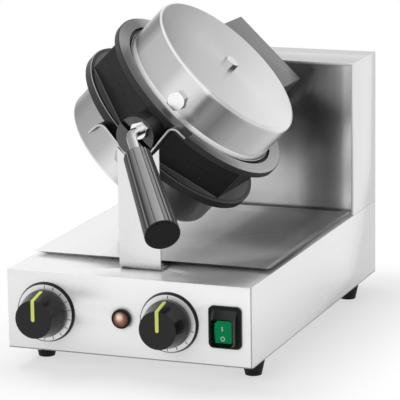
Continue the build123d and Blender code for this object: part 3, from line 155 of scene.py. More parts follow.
class Recipe:
    """The node tree of one finish."""

    def __init__(self, tree: bpy.types.NodeTree) -> None:
        """Empties the tree."""
        self.tree = tree
        self.tree.nodes.clear()

    def node(
        self, kind: str, sockets: dict[int | str, Any] | None = None, output: int | str = 0, **settings: Any
    ) -> Value:
        """Adds a node, sets it and fills its sockets.

        Args:
            kind: The node's type.
            sockets: A value, number, colour or vector for each socket, by name or place.
            output: Which output is given back, by name or place.
            settings: The node's own settings; stops fill a colour ramp.

        Returns:
            The chosen output.
        """
        node = self.tree.nodes.new(kind)
        for name, setting in settings.items():
            if name == "stops":
                elements = node.color_ramp.elements
                for place, _ in setting[2:]:
                    elements.new(place)
                for element, (place, tone) in zip(elements, sorted(setting)):
                    element.position = place
                    element.color = (tone, tone, tone, 1)
            else:
                setattr(node, name, setting)
        for name, content in (sockets or {}).items():
            socket = node.inputs[name]
            if isinstance(content, Value):
                self.tree.links.new(content.socket, socket)
            elif socket.type == "RGBA" and len(content) == 3:
                socket.default_value = (*content, 1)
            else:
                socket.default_value = content
        return Value(self, node.outputs[output] if node.outputs else None)

    def place(self) -> Value:
        """The place of a point at rest, in metres, in the frame of its piece."""
        return self.node("ShaderNodeTexCoord", output="Object")

    def facing(self, direction: Sequence[float]) -> Value:
        """How squarely a surface at rest faces a direction in the frame of its piece, from -1 to 1."""
        normal = self.node("ShaderNodeTexCoord", output="Normal")
        return self.vector("DOT_PRODUCT", normal, tuple(direction))

    def vector(self, operation: str, first: Any, second: Any) -> Value:
        """A Vector Math node of two inputs, which gives a number for a dot product or a distance."""
        output = "Value" if operation in ("DOT_PRODUCT", "DISTANCE") else "Vector"
        return self.node("ShaderNodeVectorMath", {0: first, 1: second}, output, operation=operation)

    def along(self, direction: Sequence[float], origin: Sequence[float] = (0, 0, 0)) -> Value:
        """How far a point lies along a direction from an origin, in metres, in the frame of its piece."""
        offset = self.vector("SUBTRACT", self.place(), tuple(origin))
        return self.vector("DOT_PRODUCT", offset, tuple(direction))

    def join(self, x: Any, y: Any, z: Any) -> Value:
        """A vector of three values."""
        return self.node("ShaderNodeCombineXYZ", {"X": x, "Y": y, "Z": z})

    def noise(self, vector: Value, scale: float, detail: float = 2.0, rough: float = 0.5) -> Value:
        """Noise from 0 to 1 over a vector."""
        sockets = {"Vector": vector, "Scale": scale, "Detail": detail, "Roughness": rough}
        return self.node("ShaderNodeTexNoise", sockets)

    def mix(self, share: Any, first: Any, second: Any) -> Value:
        """A colour between two colours."""
        sockets = dict(zip(MIX_INPUTS, (share, first, second)))
        return self.node("ShaderNodeMix", sockets, MIX_RESULT, data_type="RGBA")

    def grey(self, tone: Any) -> Value:
        """A grey of this tone."""
        return self.node("ShaderNodeCombineColor", dict.fromkeys(("Red", "Green", "Blue"), tone))

    def bump(self, height: Value, depth: float, strength: float = 1.0) -> Value:
        """A normal from a height of 0 to 1 times a depth in metres."""
        return self.node("ShaderNodeBump", {"Height": height, "Distance": depth, "Strength": strength})

    def levels(self, value: Value, stops: Stops) -> Value:
        """A value that runs straight from stop to stop.

        Args:
            value: What the stops are set along.
            stops: Places in rising order, each with its level.

        Returns:
            The level at the value.
        """
        first, last = stops[0][0], stops[-1][0]
        scaled = [((place - first) / (last - first), level) for place, level in stops]
        return self.node("ShaderNodeValToRGB", {0: (value - first) / (last - first)}, stops=scaled)

    def band(self, value: Value, low: float, high: float, blur: float) -> Value:
        """1 between two values and 0 outside them, with soft ends."""
        return value.ease(low - blur, low + blur) * value.ease(high + blur, high - blur)

    def shader(self, **sockets: Any) -> Value:
        """A Principled shader; words of a socket's name are joined by underscores."""
        named = {name.replace("_", " "): content for name, content in sockets.items()}
        return self.node("ShaderNodeBsdfPrincipled", named)

    def finish(self, shader: Value, output: str = "ShaderNodeOutputMaterial") -> None:
        """Joins a shader to the tree's output."""
        self.node(output, {"Surface": shader})


# The tilted iron's own directions


@dataclass(frozen=True)
class IronFrame:
    """Where the iron lies at rest: its middle on the parting, and its directions."""

    tilt: float = 44.0

    @property
    def middle(self) -> Vector:
        """The middle of the parting, on the axis that the iron turns about."""
        cover_low, cover_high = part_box("lower_cover")
        bearing_low, bearing_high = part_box("shaft_bearing")
        return Vector((0, (cover_low.y + cover_high.y) / 2, (bearing_low.z + bearing_high.z) / 2))

    @property
    def up(self) -> Vector:
        """Square to the parting, towards the lid."""
        return Vector((sin(radians(self.tilt)), 0, cos(radians(self.tilt))))

    @property
    def right(self) -> Vector:
        """Along the parting, square to the axis."""
        return Vector((cos(radians(self.tilt)), 0, -sin(radians(self.tilt))))

    def point(self, x: float, y: float, z: float) -> Vector:
        """A point given in the iron's own directions, in metres."""
        return self.middle + self.right * x + Vector((0, y, 0)) + self.up * z

    def lies(self, side: int, level: float) -> Matrix:
        """A frame on the iron's axis.

        Args:
            side: 1 for the upper half and -1 for the lower.
            level: How far from the parting it lies, in metres.

        Returns:
            The frame, whose own Z leads away from the parting.
        """
        columns = Matrix((self.right * side, Vector(Y), self.up * side)).transposed()
        return Matrix.Translation(self.point(0, 0, side * level)) @ columns.to_4x4()


IRON = IronFrame()


# Finishes


class Finish(Protocol):
    """What each finish has."""

    name: str

    def build(self, recipe: Recipe) -> Value:
        """Adds its nodes to a recipe and gives its shader."""


class Grain(Enum):
    """The direction in which a sheet is brushed: how often its streaks change in a metre of X, Y and Z."""

    ALONG_X = (6.0, 900.0, 900.0)
    ALONG_Y = (900.0, 6.0, 900.0)
    ALONG_Z = (900.0, 900.0, 6.0)


@dataclass(frozen=True)
class Brushed:
    """Sheet steel with a straight brushed grain.

    Its tone may change from left to right (across), from front to rear in the right half (back) and from
    bottom to top (upright), with places in mm; these stops paint reflections and shade into the tone, and
    where top is below 1, upward faces are darker as painted shade. A turned piece has the model's X, Y and Z
    as its Z, X and Y.
    """

    name: str
    grain: Grain = Grain.ALONG_X
    tone: float = 0.86
    roughness: float = 0.26
    streak: float = 0.05
    stretch: float = 0.0
    turn: float = 0.0
    across: Stops = ()
    back: Stops = ()
    upright: Stops = ()
    top: float = 1.0
    metal: float = 1.0
    turned: bool = False
    depth: float = 0.004 * MM
    streak_gloss: float = 0.05
    broad: float = 1 / 8
    fine_share: float = 1.2
    broad_share: float = 0.5
    right_half: Pair = (-10 * MM, 30 * MM)

    def build(self, recipe: Recipe) -> Value:
        """Long fine streaks change the tone, the gloss and the height a little.

        Args:
            recipe: The tree that its nodes go into.

        Returns:
            Its shader.
        """
        right, rear, up = (Z, X, Y) if self.turned else (X, Y, Z)
        place = recipe.place()
        fine = recipe.noise(recipe.vector("MULTIPLY", place, self.grain.value), 1.0, 3.0, 0.6)
        broad_grain = [often * self.broad for often in self.grain.value]
        broad = recipe.noise(recipe.vector("MULTIPLY", place, broad_grain), 1.0, 2.0)
        streaks = (fine - 0.5) * self.fine_share + (broad - 0.5) * self.broad_share
        tone = self.tone * (1 + streaks * self.streak * 2)
        # The across and upright stops, and the back stops below, paint reflections and shade into the tone
        for direction, stops in ((right, self.across), (up, self.upright)):
            if stops:
                tone = tone * recipe.levels(recipe.along(direction) / MM, stops)
        if self.back:
            share = recipe.along(right).ease(*self.right_half)
            tone = tone * (1 - share + share * recipe.levels(recipe.along(rear) / MM, self.back))
        # Painted shade: where top is below 1, faces turned upward are darker
        if self.top != 1.0:
            above = recipe.facing(up).ease(*SQUARELY)
            tone = tone * (1 - above * (1 - self.top))
        return recipe.shader(
            Base_Color=recipe.grey(tone),
            Metallic=self.metal,
            Roughness=self.roughness + streaks * self.streak_gloss,
            Anisotropic=self.stretch,
            Anisotropic_Rotation=self.turn,
            Normal=recipe.bump(fine, self.depth, 0.4),
        )


@dataclass(frozen=True)
class Spun:
    """Sheet cover with its grain round its axis, and painted reflections as tones by mm on its crown and by
    degrees round it.
    """

    name: str
    crown: Stops
    wall: Stops
    glint: Stops = ((-180, 0.5), (-80, 0.75), (-20, 0.8), (20, 0.45), (80, 0.3), (180, 0.4))
    sweep: Pair = (0.9, 0.25)
    bend_starts: Pair = (30, 32)
    flare_ends: Pair = (4.6, 5.4)
    # Painted highlight: how bright the foot's flare is, towards shine
    flare: float = 0.92
    shine: float = 0.95
    streak: float = 0.07
    roughness: float = 0.27
    crown_haze: float = 0.06
    depth: float = 0.002 * MM
    rings_per_mm: float = 3.5
    rays: float = 1.5
    crown_faces: Pair = (0.55, 0.97)
    bend_faces: Pair = (0.42, 0.74)

    def build(self, recipe: Recipe) -> Value:
        """Fine grain rings, painted reflections on the wall and crown, and painted highlights on flare and
        bend.

        Args:
            recipe: The tree that its nodes go into.

        Returns:
            Its shader.
        """
        x, y, level = (recipe.along(axis) / MM for axis in (X, Y, Z))
        radius = (x * x + y * y) ** 0.5
        turn = x.turn_from(-y)
        degrees = turn * DEGREES
        rings = recipe.join(radius * self.rings_per_mm, level * self.rings_per_mm, turn * self.rays)
        fine = recipe.noise(rings, 1.0)
        outward = recipe.facing(Z)
        top = outward.ease(*self.crown_faces)
        along, beside = self.sweep
        # Painted reflections: the crown's tone along the sweep and the wall's by degrees round the cover
        crown_tone = recipe.levels(x * along + y * beside, self.crown)
        tone = recipe.levels(degrees, self.wall) * (1 - top) + crown_tone * top
        # Painted highlight along the bend into the crown, by the glint stops, and on the foot's flare
        bend = recipe.band(outward, *self.bend_faces, 0.10) * level.ease(*self.bend_starts)
        flare_highlight = level.ease(*reversed(self.flare_ends)) * self.flare
        bright = flare_highlight.most(bend * recipe.levels(degrees, self.glint))
        tone = tone * (1 - bright) + bright * self.shine
        return recipe.shader(
            Base_Color=recipe.grey(tone * (1 + (fine - 0.5) * self.streak)),
            Metallic=1.0,
            Roughness=self.roughness + top * self.crown_haze,
            Anisotropic=0.7,
            Anisotropic_Rotation=0.25,
            Normal=recipe.bump(fine, self.depth, 0.3),
        )


@dataclass(frozen=True)
class Bright:
    """Plated or turned steel with a little handling wear, and painted light and shade by how far its sides
    lean.
    """

    name: str
    tone: float = 0.85
    tint: Colour = (1.0, 1.0, 1.0)
    roughness: float = 0.14
    grit: float = 0.01 * MM
    sides: Stops = ()
    lean: Place = (0.72, 0.12, -0.68)
    clouds: float = 120.0
    cloudy: float = 0.12
    smears: float = 0.14
    pits: float = 1400.0

    def build(self, recipe: Recipe) -> Value:
        """Fine pits and cloudy wear on a bright ground, with painted light and shade by how the sides lean.

        Args:
            recipe: The tree that its nodes go into.

        Returns:
            Its shader.
        """
        place = recipe.place()
        cloud = recipe.noise(place, self.clouds, 3.0)
        pits = recipe.noise(place, self.pits)
        tone = self.tone * (1 + (cloud - 0.5) * self.cloudy)
        # Painted light and shade: the sides stops set the tone by how squarely a side faces lean
        if self.sides:
            tone = tone * recipe.levels(recipe.facing(self.lean), self.sides)
        return recipe.shader(
            Base_Color=recipe.mix(tone, (0, 0, 0), self.tint),
            Metallic=1.0,
            Roughness=self.roughness + (cloud - 0.5) * self.smears,
            Normal=recipe.bump(pits, self.grit, 0.4),
        )


@dataclass(frozen=True)
class Casting:
    """Dark coated casting, bare machined faces, painted highlights and reflections; its places are in mm."""

    name: str
    dark: float = 0.009
    bare: float = 0.50
    bare_share_and_highlight: float = 0.55
    # Painted highlight on the flange's outer rim
    rim_tone: float = 0.018
    grains: float = 900.0
    grain_depth: float = 0.16 * MM
    turning: Pair = (0.7, 0.3)
    flange: float = 103.5
    under: float = 18.0
    face_starts: Pair = (24.4, 25.2)
    journal_starts: Pair = (125, 127)
    # Painted reflections: the bare face's tone by degrees round the iron
    slope: Stops = (
        (-180, 1.0), (-110, 0.85), (-94, 0.30), (-76, 0.36), (-60, 0.62), (-40, 0.42), (0, 0.26), (28, 0.30),
        (45, 0.62), (60, 0.95), (75, 1.0), (95, 1.0), (180, 1.0),
    )
    # Painted highlight: how bright the edge lines are, by degrees round the iron
    corners: Stops = ((-180, 0.5), (-40, 0.9), (0, 0.5), (40, 0.18), (180, 0.15))
    # Painted reflection: the lower flange's ledge tone by degrees round the iron
    shelf: Stops = ((-180, 0.02), (20, 0.01), (50, 0.07), (90, 0.13), (130, 0.10), (180, 0.02))

    def build(self, recipe: Recipe) -> Value:
        """Bare metal outside the flange, painted highlights and reflections, cast grain and dark coating
        elsewhere.

        Args:
            recipe: The tree that its nodes go into.

        Returns:
            Its shader.
        """
        x = recipe.along(IRON.right, IRON.middle) / MM
        y = recipe.along(Y, IRON.middle) / MM
        level = recipe.along(IRON.up, IRON.middle) / MM
        radius = (x * x + y * y) ** 0.5
        turn = x.turn_from(-y) * DEGREES
        away = abs(level)
        upward = recipe.facing(IRON.up)
        grit = recipe.noise(recipe.place(), self.grains, 4.0, 0.7)
        outwards, upwards = self.turning
        rings = recipe.noise(recipe.join(radius * outwards, level * upwards, 0.0), 1.0, 3.0)

        edge, under = self.flange, self.under
        face = abs(upward).ease(0.75, 0.95) * away.ease(*self.face_starts)
        journal = (-recipe.facing(Y)).ease(*SQUARELY) * (-y).ease(*self.journal_starts)
        # Painted highlight lines along the flange's edge at the parting side
        corner = away.ease(under - 0.8, under - 0.3) * away.ease(under + 0.8, under + 0.2)
        corner = corner * recipe.band(radius, edge - 0.9, edge - 0.2, 0.2) * recipe.levels(turn, self.corners)
        lower = level.ease(0.5, -0.5)
        # Painted highlight line where the block meets the lower flange
        seam = radius.ease(edge - 4, edge - 5) * recipe.band(away, under - 1, under - 0.3, 0.25) * lower
        # Painted highlight on the flange's rim
        rim = radius.ease(edge - 0.5, edge - 0.2) * away.ease(under + 0.2, under + 0.8)
        # Painted reflection on the lower flange's face beside the block, by the shelf stops
        ledge = recipe.band(level, -under, 0.6 - under, 0.1) * upward.ease(0.9, 0.98)
        ledge = ledge * recipe.levels(turn, self.shelf)

        # Bare metal share, with the painted highlight lines at the flange's edge and at the seam
        metal = face.most(journal * self.bare_share_and_highlight).most(corner).most(seam * self.bare_share_and_highlight)
        # The coating's tone, with the painted rim highlight and ledge reflection added
        coating = self.dark * (0.4 + grit * grit * 3.2) + rim * self.rim_tone + ledge
        machined = self.bare * (0.85 + rings * 0.3) * (recipe.levels(turn, self.slope) * face + (1 - face))
        # The journal's front faces are made darker, less so where the grit is high
        journal_darkening = 1 - journal * (0.85 - grit * 0.5)
        return recipe.shader(
            Base_Color=recipe.grey(coating * (1 - metal) + machined * metal * journal_darkening),
            Metallic=metal,
            Roughness=0.42 + grit * 0.14 - metal * 0.08,
            Specular_IOR_Level=0.24,
            Normal=recipe.bump(grit, self.grain_depth, 0.5),
        )


@dataclass(frozen=True)
class BentStrip:
    """Strip steel with faces painted dark as painted shade and bright cut edges."""

    name: str
    # Painted shade: the tone of the strip's faces
    dark: float = 0.030
    cut: float = 0.62
    right_arm: Pair = (0.0, 4 * MM)
    # Painted light: how much paler the underside of the right arm is
    arm_light: float = 3.5
    scratches: Place = (900.0, 60.0, 900.0)

    def build(self, recipe: Recipe) -> Value:
        """Bright where sheared, painted dark on its faces as painted shade, less so under its right arm.

        Args:
            recipe: The tree that its nodes go into.

        Returns:
            Its shader.
        """
        sheared = abs(recipe.facing(Y)).ease(*SQUARELY)
        right = recipe.along(X).ease(*self.right_arm)
        below = (-recipe.facing(Z)).ease(0.1, 0.5)
        fine = recipe.noise(recipe.vector("MULTIPLY", recipe.place(), self.scratches), 1.0)
        # Painted shade on the faces, lifted under the right arm as painted light
        face = self.dark * (1 + below * right * self.arm_light) * (0.8 + fine * 0.4)
        return recipe.shader(
            Base_Color=recipe.grey(face * (1 - sheared) + sheared * self.cut),
            Metallic=0.9,
            Roughness=0.26 + fine * 0.08,
            Normal=recipe.bump(fine, 0.006 * MM, 0.4),
        )


@dataclass(frozen=True)
class Moulded:
    """Moulded plastic, bakelite or rubber."""

    name: str
    colour: Colour = (0.012, 0.012, 0.013)
    roughness: float = 0.35
    gloss: float = 0.28
    grain: float = 0.01 * MM
    scale: float = 1600.0
    glow: float = 0.0
    clouds: float = 60.0
    cloudy: float = 0.15

    def build(self, recipe: Recipe) -> Value:
        """A fine moulded texture and a faint cloudiness in the gloss.

        Args:
            recipe: The tree that its nodes go into.

        Returns:
            Its shader.
        """
        place = recipe.place()
        texture = recipe.noise(place, self.scale)
        cloud = recipe.noise(place, self.clouds, 3.0)
        deep, pale = (tuple(share * c for c in self.colour) for share in (1 - self.cloudy, 1 + self.cloudy))
        return recipe.shader(
            Base_Color=recipe.mix(cloud, deep, pale),
            Roughness=self.roughness + (cloud - 0.5) * 0.06,
            Specular_IOR_Level=self.gloss,
            # Glow, where set, is painted light
            Emission_Color=self.colour,
            Emission_Strength=self.glow,
            Normal=recipe.bump(texture, self.grain, 0.4),
        )


@dataclass(frozen=True)
class FlutedBakelite:
    """Handle grip whose ridges carry pale painted reflections along its right flank.

    Its axis starts before the iron's middle by its reach and over the parting by its level, and is turned
    from straight ahead. Its bands of painted reflection go by degrees from its upper line.
    """

    name: str
    reach: float
    level: float
    turn: float
    bands: Stops
    smears: Pair = (0.06, 0.012)

    def build(self, recipe: Recipe) -> Value:
        """Painted reflections that change from ridge to ridge round the grip, black under it.

        Args:
            recipe: The tree that its nodes go into.

        Returns:
            Its shader.
        """
        ahead = Vector(Y) * -1
        turn = radians(self.turn)
        along = IRON.right * sin(turn) + ahead * cos(turn)
        beside = IRON.right * cos(turn) - ahead * sin(turn)
        start = IRON.point(0, -self.reach, self.level)
        across = recipe.along(beside, start)
        above = recipe.along(IRON.up, start)
        angle = across.turn_from(above) * DEGREES
        far = recipe.along(along, start) / MM
        round_it, along_it = self.smears
        smear = recipe.noise(recipe.join(angle * round_it, far * along_it, 0.0), 1.0)
        tone = recipe.levels(angle, self.bands) * (0.85 + smear * 0.3)
        return recipe.shader(
            Base_Color=recipe.grey(tone),
            Roughness=0.22 + smear * 0.06,
            Specular_IOR_Level=0.15,
            Normal=recipe.bump(smear, 0.02 * MM, 0.2),
        )


@dataclass(frozen=True)
class BootRubber:
    """Clear splash boot: clear in its face, deep in its walls, with a painted highlight line at the face's
    top.
    """

    name: str
    line_height: float
    line_front: float
    dark: Colour = (0.010, 0.014, 0.012)
    clear: Colour = (0.02, 0.12, 0.06)
    # Painted highlight: the colour of the line at the face's top
    bright: Colour = (0.62, 0.66, 0.64)
    clearness: float = 0.93
    haze: float = 400.0

    def build(self, recipe: Recipe) -> Value:
        """The face lets the rocker show; the slanting walls look nearly black.

        Args:
            recipe: The tree that its nodes go into.

        Returns:
            Its shader.
        """
        face = (-recipe.facing(Y)).ease(0.75, 0.97)
        haze = recipe.noise(recipe.place(), self.haze)
        height, front = (recipe.along(axis) / MM for axis in (Z, Y))
        # Painted highlight along the top edge of the face
        line = recipe.band(height, self.line_height - 1.0, self.line_height + 0.3, 0.25)
        line = line * front.ease(self.line_front + 1.0, self.line_front + 0.5)
        return recipe.shader(
            Base_Color=recipe.mix(line, recipe.mix(face, self.dark, self.clear), self.bright),
            Roughness=0.14 + haze * 0.08,
            Specular_IOR_Level=0.35,
            Alpha=(1 - face * self.clearness).most(line),
            Normal=recipe.bump(haze, 0.05 * MM, 0.2),
        )


@dataclass(frozen=True)
class LampLens:
    """Amber lens with moulded rings over its filament."""

    name: str
    middle: Place
    radius: float
    ring_pitch: float = 1.5 * MM
    ring_depth: float = 0.1 * MM
    ring_tone: float = 0.14
    filament: Place = (-0.8 * MM, 0, 2.2 * MM)
    # Painted light: a faint glow, with dim and lit as its colours
    glow: float = 0.35
    deep: Colour = (0.10, 0.035, 0.014)
    amber: Colour = (0.52, 0.24, 0.12)
    pale: Colour = (0.86, 0.68, 0.58)
    dim: Colour = (0.03, 0.01, 0.004)
    lit: Colour = (0.40, 0.24, 0.18)

    def build(self, recipe: Recipe) -> Value:
        """Rings in the lens, paler above the middle where the filament lies behind.

        Args:
            recipe: The tree that its nodes go into.

        Returns:
            Its shader.
        """
        distance = recipe.vector("DISTANCE", recipe.place(), self.middle)
        rings = (distance * (2 * pi / self.ring_pitch)).sine()
        spot = Vector(self.middle) + Vector(self.filament)
        pale = (recipe.vector("DISTANCE", recipe.place(), tuple(spot)) / self.radius).ease(0.75, 0.1)
        tone = (distance / self.radius).ease(1.05, 0.2) * 0.75 + rings * self.ring_tone
        return recipe.shader(
            Base_Color=recipe.mix(pale, recipe.mix(tone, self.deep, self.amber), self.pale),
            Roughness=0.18,
            Specular_IOR_Level=0.4,
            # Painted light: the lens glows faintly, most over the filament
            Emission_Color=recipe.mix(pale, self.dim, self.lit),
            Emission_Strength=self.glow,
            Normal=recipe.bump(rings, self.ring_depth, 0.4),
        )


class Stock(Enum):
    """The finishes of the machine, each for the pieces that share it."""

    # Painted shade: a dark line in the seam near the right edge and a dark strip along the bottom edge; the
    # tone is also a little darker towards the left
    PANEL = Brushed(
        "front_panel_steel", Grain.ALONG_X, tone=0.96, roughness=0.38, streak=0.01, metal=0.38,
        across=(
            (-125, 0.93), (0, 1.0), (123.2, 1.02), (123.6, 0.22), (124.4, 0.22), (124.7, 1.0), (125, 1.0),
        ),
        upright=((20, 0.3), (20.9, 0.3), (21.5, 0.95), (60, 1.0), (98, 1.03)),
    )
    # Painted shade: a dark strip along the bottom edge
    SHELL = Brushed(
        "shell_steel", Grain.ALONG_Y, tone=0.92, streak=0.01, stretch=0.5, turn=0.25, metal=0.65,
        upright=((20, 0.30), (20.8, 0.30), (21.4, 0.96), (98, 1.0)),
    )
    # Painted shade: top=0.74 darkens the column's top face
    COLUMN = Brushed(
        "column_steel", Grain.ALONG_Z, tone=0.80, roughness=0.30, streak=0.02, stretch=0.6, turn=0.25,
        metal=0.85, top=0.74,
    )
    # Painted reflections: light and dark upright bands across the panel, darker towards the top
    MIRROR = Brushed(
        "polished_panel_steel", Grain.ALONG_Z, tone=0.62, roughness=0.19, stretch=0.75, turn=0.25, metal=0.86,
        across=(
            (-125, 1.2), (40, 1.2), (62, 1.1), (74, 0.7), (80, 0.55), (92, 0.55), (104, 0.72), (110, 0.95),
            (115, 1.55), (125, 1.6),
        ),
        upright=((98, 1.0), (150, 1.0), (190, 0.95), (205, 0.68), (240, 0.72), (258, 0.8)),
    )
    # Painted reflections: lighter and darker regions across the tray and from front to rear
    TRAY = Brushed(
        "tray_steel", Grain.ALONG_X, tone=0.60, roughness=0.14, streak=0.04, stretch=0.7, metal=0.6,
        turned=True,
        across=(
            (-125, 1.6), (-60, 1.5), (-20, 1.05), (24, 0.9), (27, 0.8), (36, 0.62), (88, 0.55), (98, 0.7),
            (125, 0.8),
        ),
        back=((-90, 0.30), (-30, 0.38), (20, 0.9), (60, 1.3), (164, 1.5)),
    )
    # Painted shade: darker towards the foot of the post
    POST = Brushed(
        "post_steel", Grain.ALONG_Z, tone=0.80, roughness=0.28, streak=0.02, stretch=0.6, turn=0.25,
        upright=((97, 0.55), (101, 0.6), (106, 0.95), (112, 1.0), (218, 1.0)),
    )
    CRADLE = BentStrip("cradle_steel")
    REAR = Brushed("rear_steel", Grain.ALONG_X, tone=0.70, roughness=0.34, streak=0.04)
    HINGE = Brushed("hinge_box_steel", Grain.ALONG_Y, tone=0.20, roughness=0.40)
    YOKE = Brushed("yoke_steel", Grain.ALONG_Y, tone=0.26, roughness=0.42, streak=0.06)
    # Crown and wall stops are painted reflections
    UPPER_COVER = Spun(
        "upper_cover_steel",
        crown=((-90, 0.25), (-67, 0.31), (-36, 0.50), (0, 0.60), (36, 0.72), (67, 0.79), (90, 0.82)),
        wall=(
            (-180, 0.6), (-82, 0.6), (-75, 0.48), (-64, 0.17), (-56, 0.22), (-45, 0.47), (-15, 0.54),
            (-8, 0.74), (10, 0.80), (13, 0.32), (28, 0.18), (45, 0.45), (60, 0.52), (78, 0.74), (180, 0.6),
        ),
    )
    # Crown and wall stops are painted reflections
    LOWER_COVER = Spun(
        "lower_cover_steel",
        crown=((-90, 0.6), (90, 0.6)),
        wall=(
            (-180, 0.6), (-75, 0.55), (-45, 0.55), (-28, 0.45), (-14, 0.3), (-4, 0.75), (2, 0.78), (15, 0.48),
            (30, 0.40), (45, 0.33), (60, 0.16), (80, 0.20), (100, 0.10), (180, 0.4),
        ),
    )
    # Painted shade: sides turned down and right are darker
    BOLT = Bright(
        "bolt_steel", tone=0.94,
        sides=((-1, 0.7), (-0.4, 0.9), (-0.1, 1.0), (0.1, 0.55), (0.4, 0.12), (1, 0.1)),
    )
    # Painted highlight and shade: a bright band where the rod's sides turn square to lean, darker either side
    ROD = Bright(
        "rod_steel", tone=0.92, roughness=0.12,
        sides=((-1, 0.2), (-0.6, 0.4), (-0.1, 1.0), (0.3, 0.95), (0.7, 0.15), (1, 0.12)),
    )
    # A darker, rougher copy of the bolt steel; on the lower cover's bolts the darker tone is painted shade
    DULL_BOLT = Bright("dull_bolt_steel", tone=0.50, roughness=0.24)
    SCREW = Bright("screw_steel", tone=0.62, roughness=0.24)
    BEARING = Bright("bearing_iron", tone=0.30, roughness=0.36, grit=0.08 * MM)
    BUSH = Bright("bush_bronze", tone=0.62, tint=(1.0, 0.72, 0.42), roughness=0.28)
    ELEMENT = Bright("element_steel", tone=0.30, tint=(0.86, 0.84, 0.82), roughness=0.42, grit=0.06 * MM)
    CLAMP = Bright("clamp_steel", tone=0.48, roughness=0.38)
    CONTROL = Bright("control_case", tone=0.55, roughness=0.34)
    CASTING = Casting("casting_dark")
    # Painted reflections: pale bands round the grip, by degrees from its upper line
    GRIP = FlutedBakelite(
        "fluted_bakelite", reach=155.2 * MM, level=9.5 * MM, turn=44.3,
        bands=(
            (-180, 0.01), (-121, 0.01), (-118, 0.16), (-114, 0.01), (-97, 0.01), (-93, 0.30), (-90, 0.01),
            (-84, 0.015), (-78, 0.10), (-64, 0.24), (-62, 0.04), (-60, 0.26), (-34, 0.44), (-31, 0.04),
            (-28, 0.28), (-21, 0.32), (-18, 0.04), (-14, 0.04), (-11, 0.50), (-7, 0.08), (0, 0.02),
            (180, 0.01),
        ),
    )
    CAP = Moulded("cap_black", (0.005, 0.005, 0.005), roughness=0.42, gloss=0.14)
    KNOB = Moulded(
        "knob_black", (0.011, 0.011, 0.012), roughness=0.20, gloss=0.26, grain=0.03 * MM, scale=2200.0
    )
    BLACK = Moulded("black_plastic", (0.006, 0.006, 0.007), roughness=0.32, gloss=0.16)
    RUBBER = Moulded(
        "rubber_black", (0.012, 0.012, 0.012), roughness=0.60, gloss=0.20, grain=0.04 * MM, scale=900.0
    )
    CREAM = Moulded("terminal_cream", (0.55, 0.47, 0.33), roughness=0.40)
    # Painted light: the glow lights the rocker, which its boot shades
    GREEN = Moulded("rocker_green", (0.006, 0.34, 0.12), roughness=0.24, glow=0.55)
    DIAL = Brushed("dial_silver", Grain.ALONG_X, roughness=0.34, streak=0.03, metal=0.6)
    POINTER = Moulded("pointer_paint", (0.66, 0.72, 0.16), roughness=0.45)
    INK = Moulded("dial_ink", (0.02, 0.02, 0.02), roughness=0.5)
    # Painted light: the switch marks glow
    WHITE = Moulded("switch_ink", (0.70, 0.86, 0.76), roughness=0.45, glow=0.6)
    BOOT = BootRubber("boot_clear", line_height=71.6, line_front=-158.3)


class Paintshop:
    """Makes each finish once."""

    def __init__(self) -> None:
        """Starts with no finish made."""
        self.made: dict[str, bpy.types.Material] = {}

    def material(self, finish: "Stock | Finish") -> bpy.types.Material:
        """The Blender material of a finish.

        Args:
            finish: A member of Stock, or a finish of its own.

        Returns:
            Its material, made at the first call.
        """
        finish = finish.value if isinstance(finish, Stock) else finish
        if finish.name not in self.made:
            material = bpy.data.materials.new(finish.name)
            material.use_nodes = True
            recipe = Recipe(material.node_tree)
            recipe.finish(finish.build(recipe))
            self.made[finish.name] = material
        return self.made[finish.name]


paintshop = Paintshop()


# Sub-assemblies


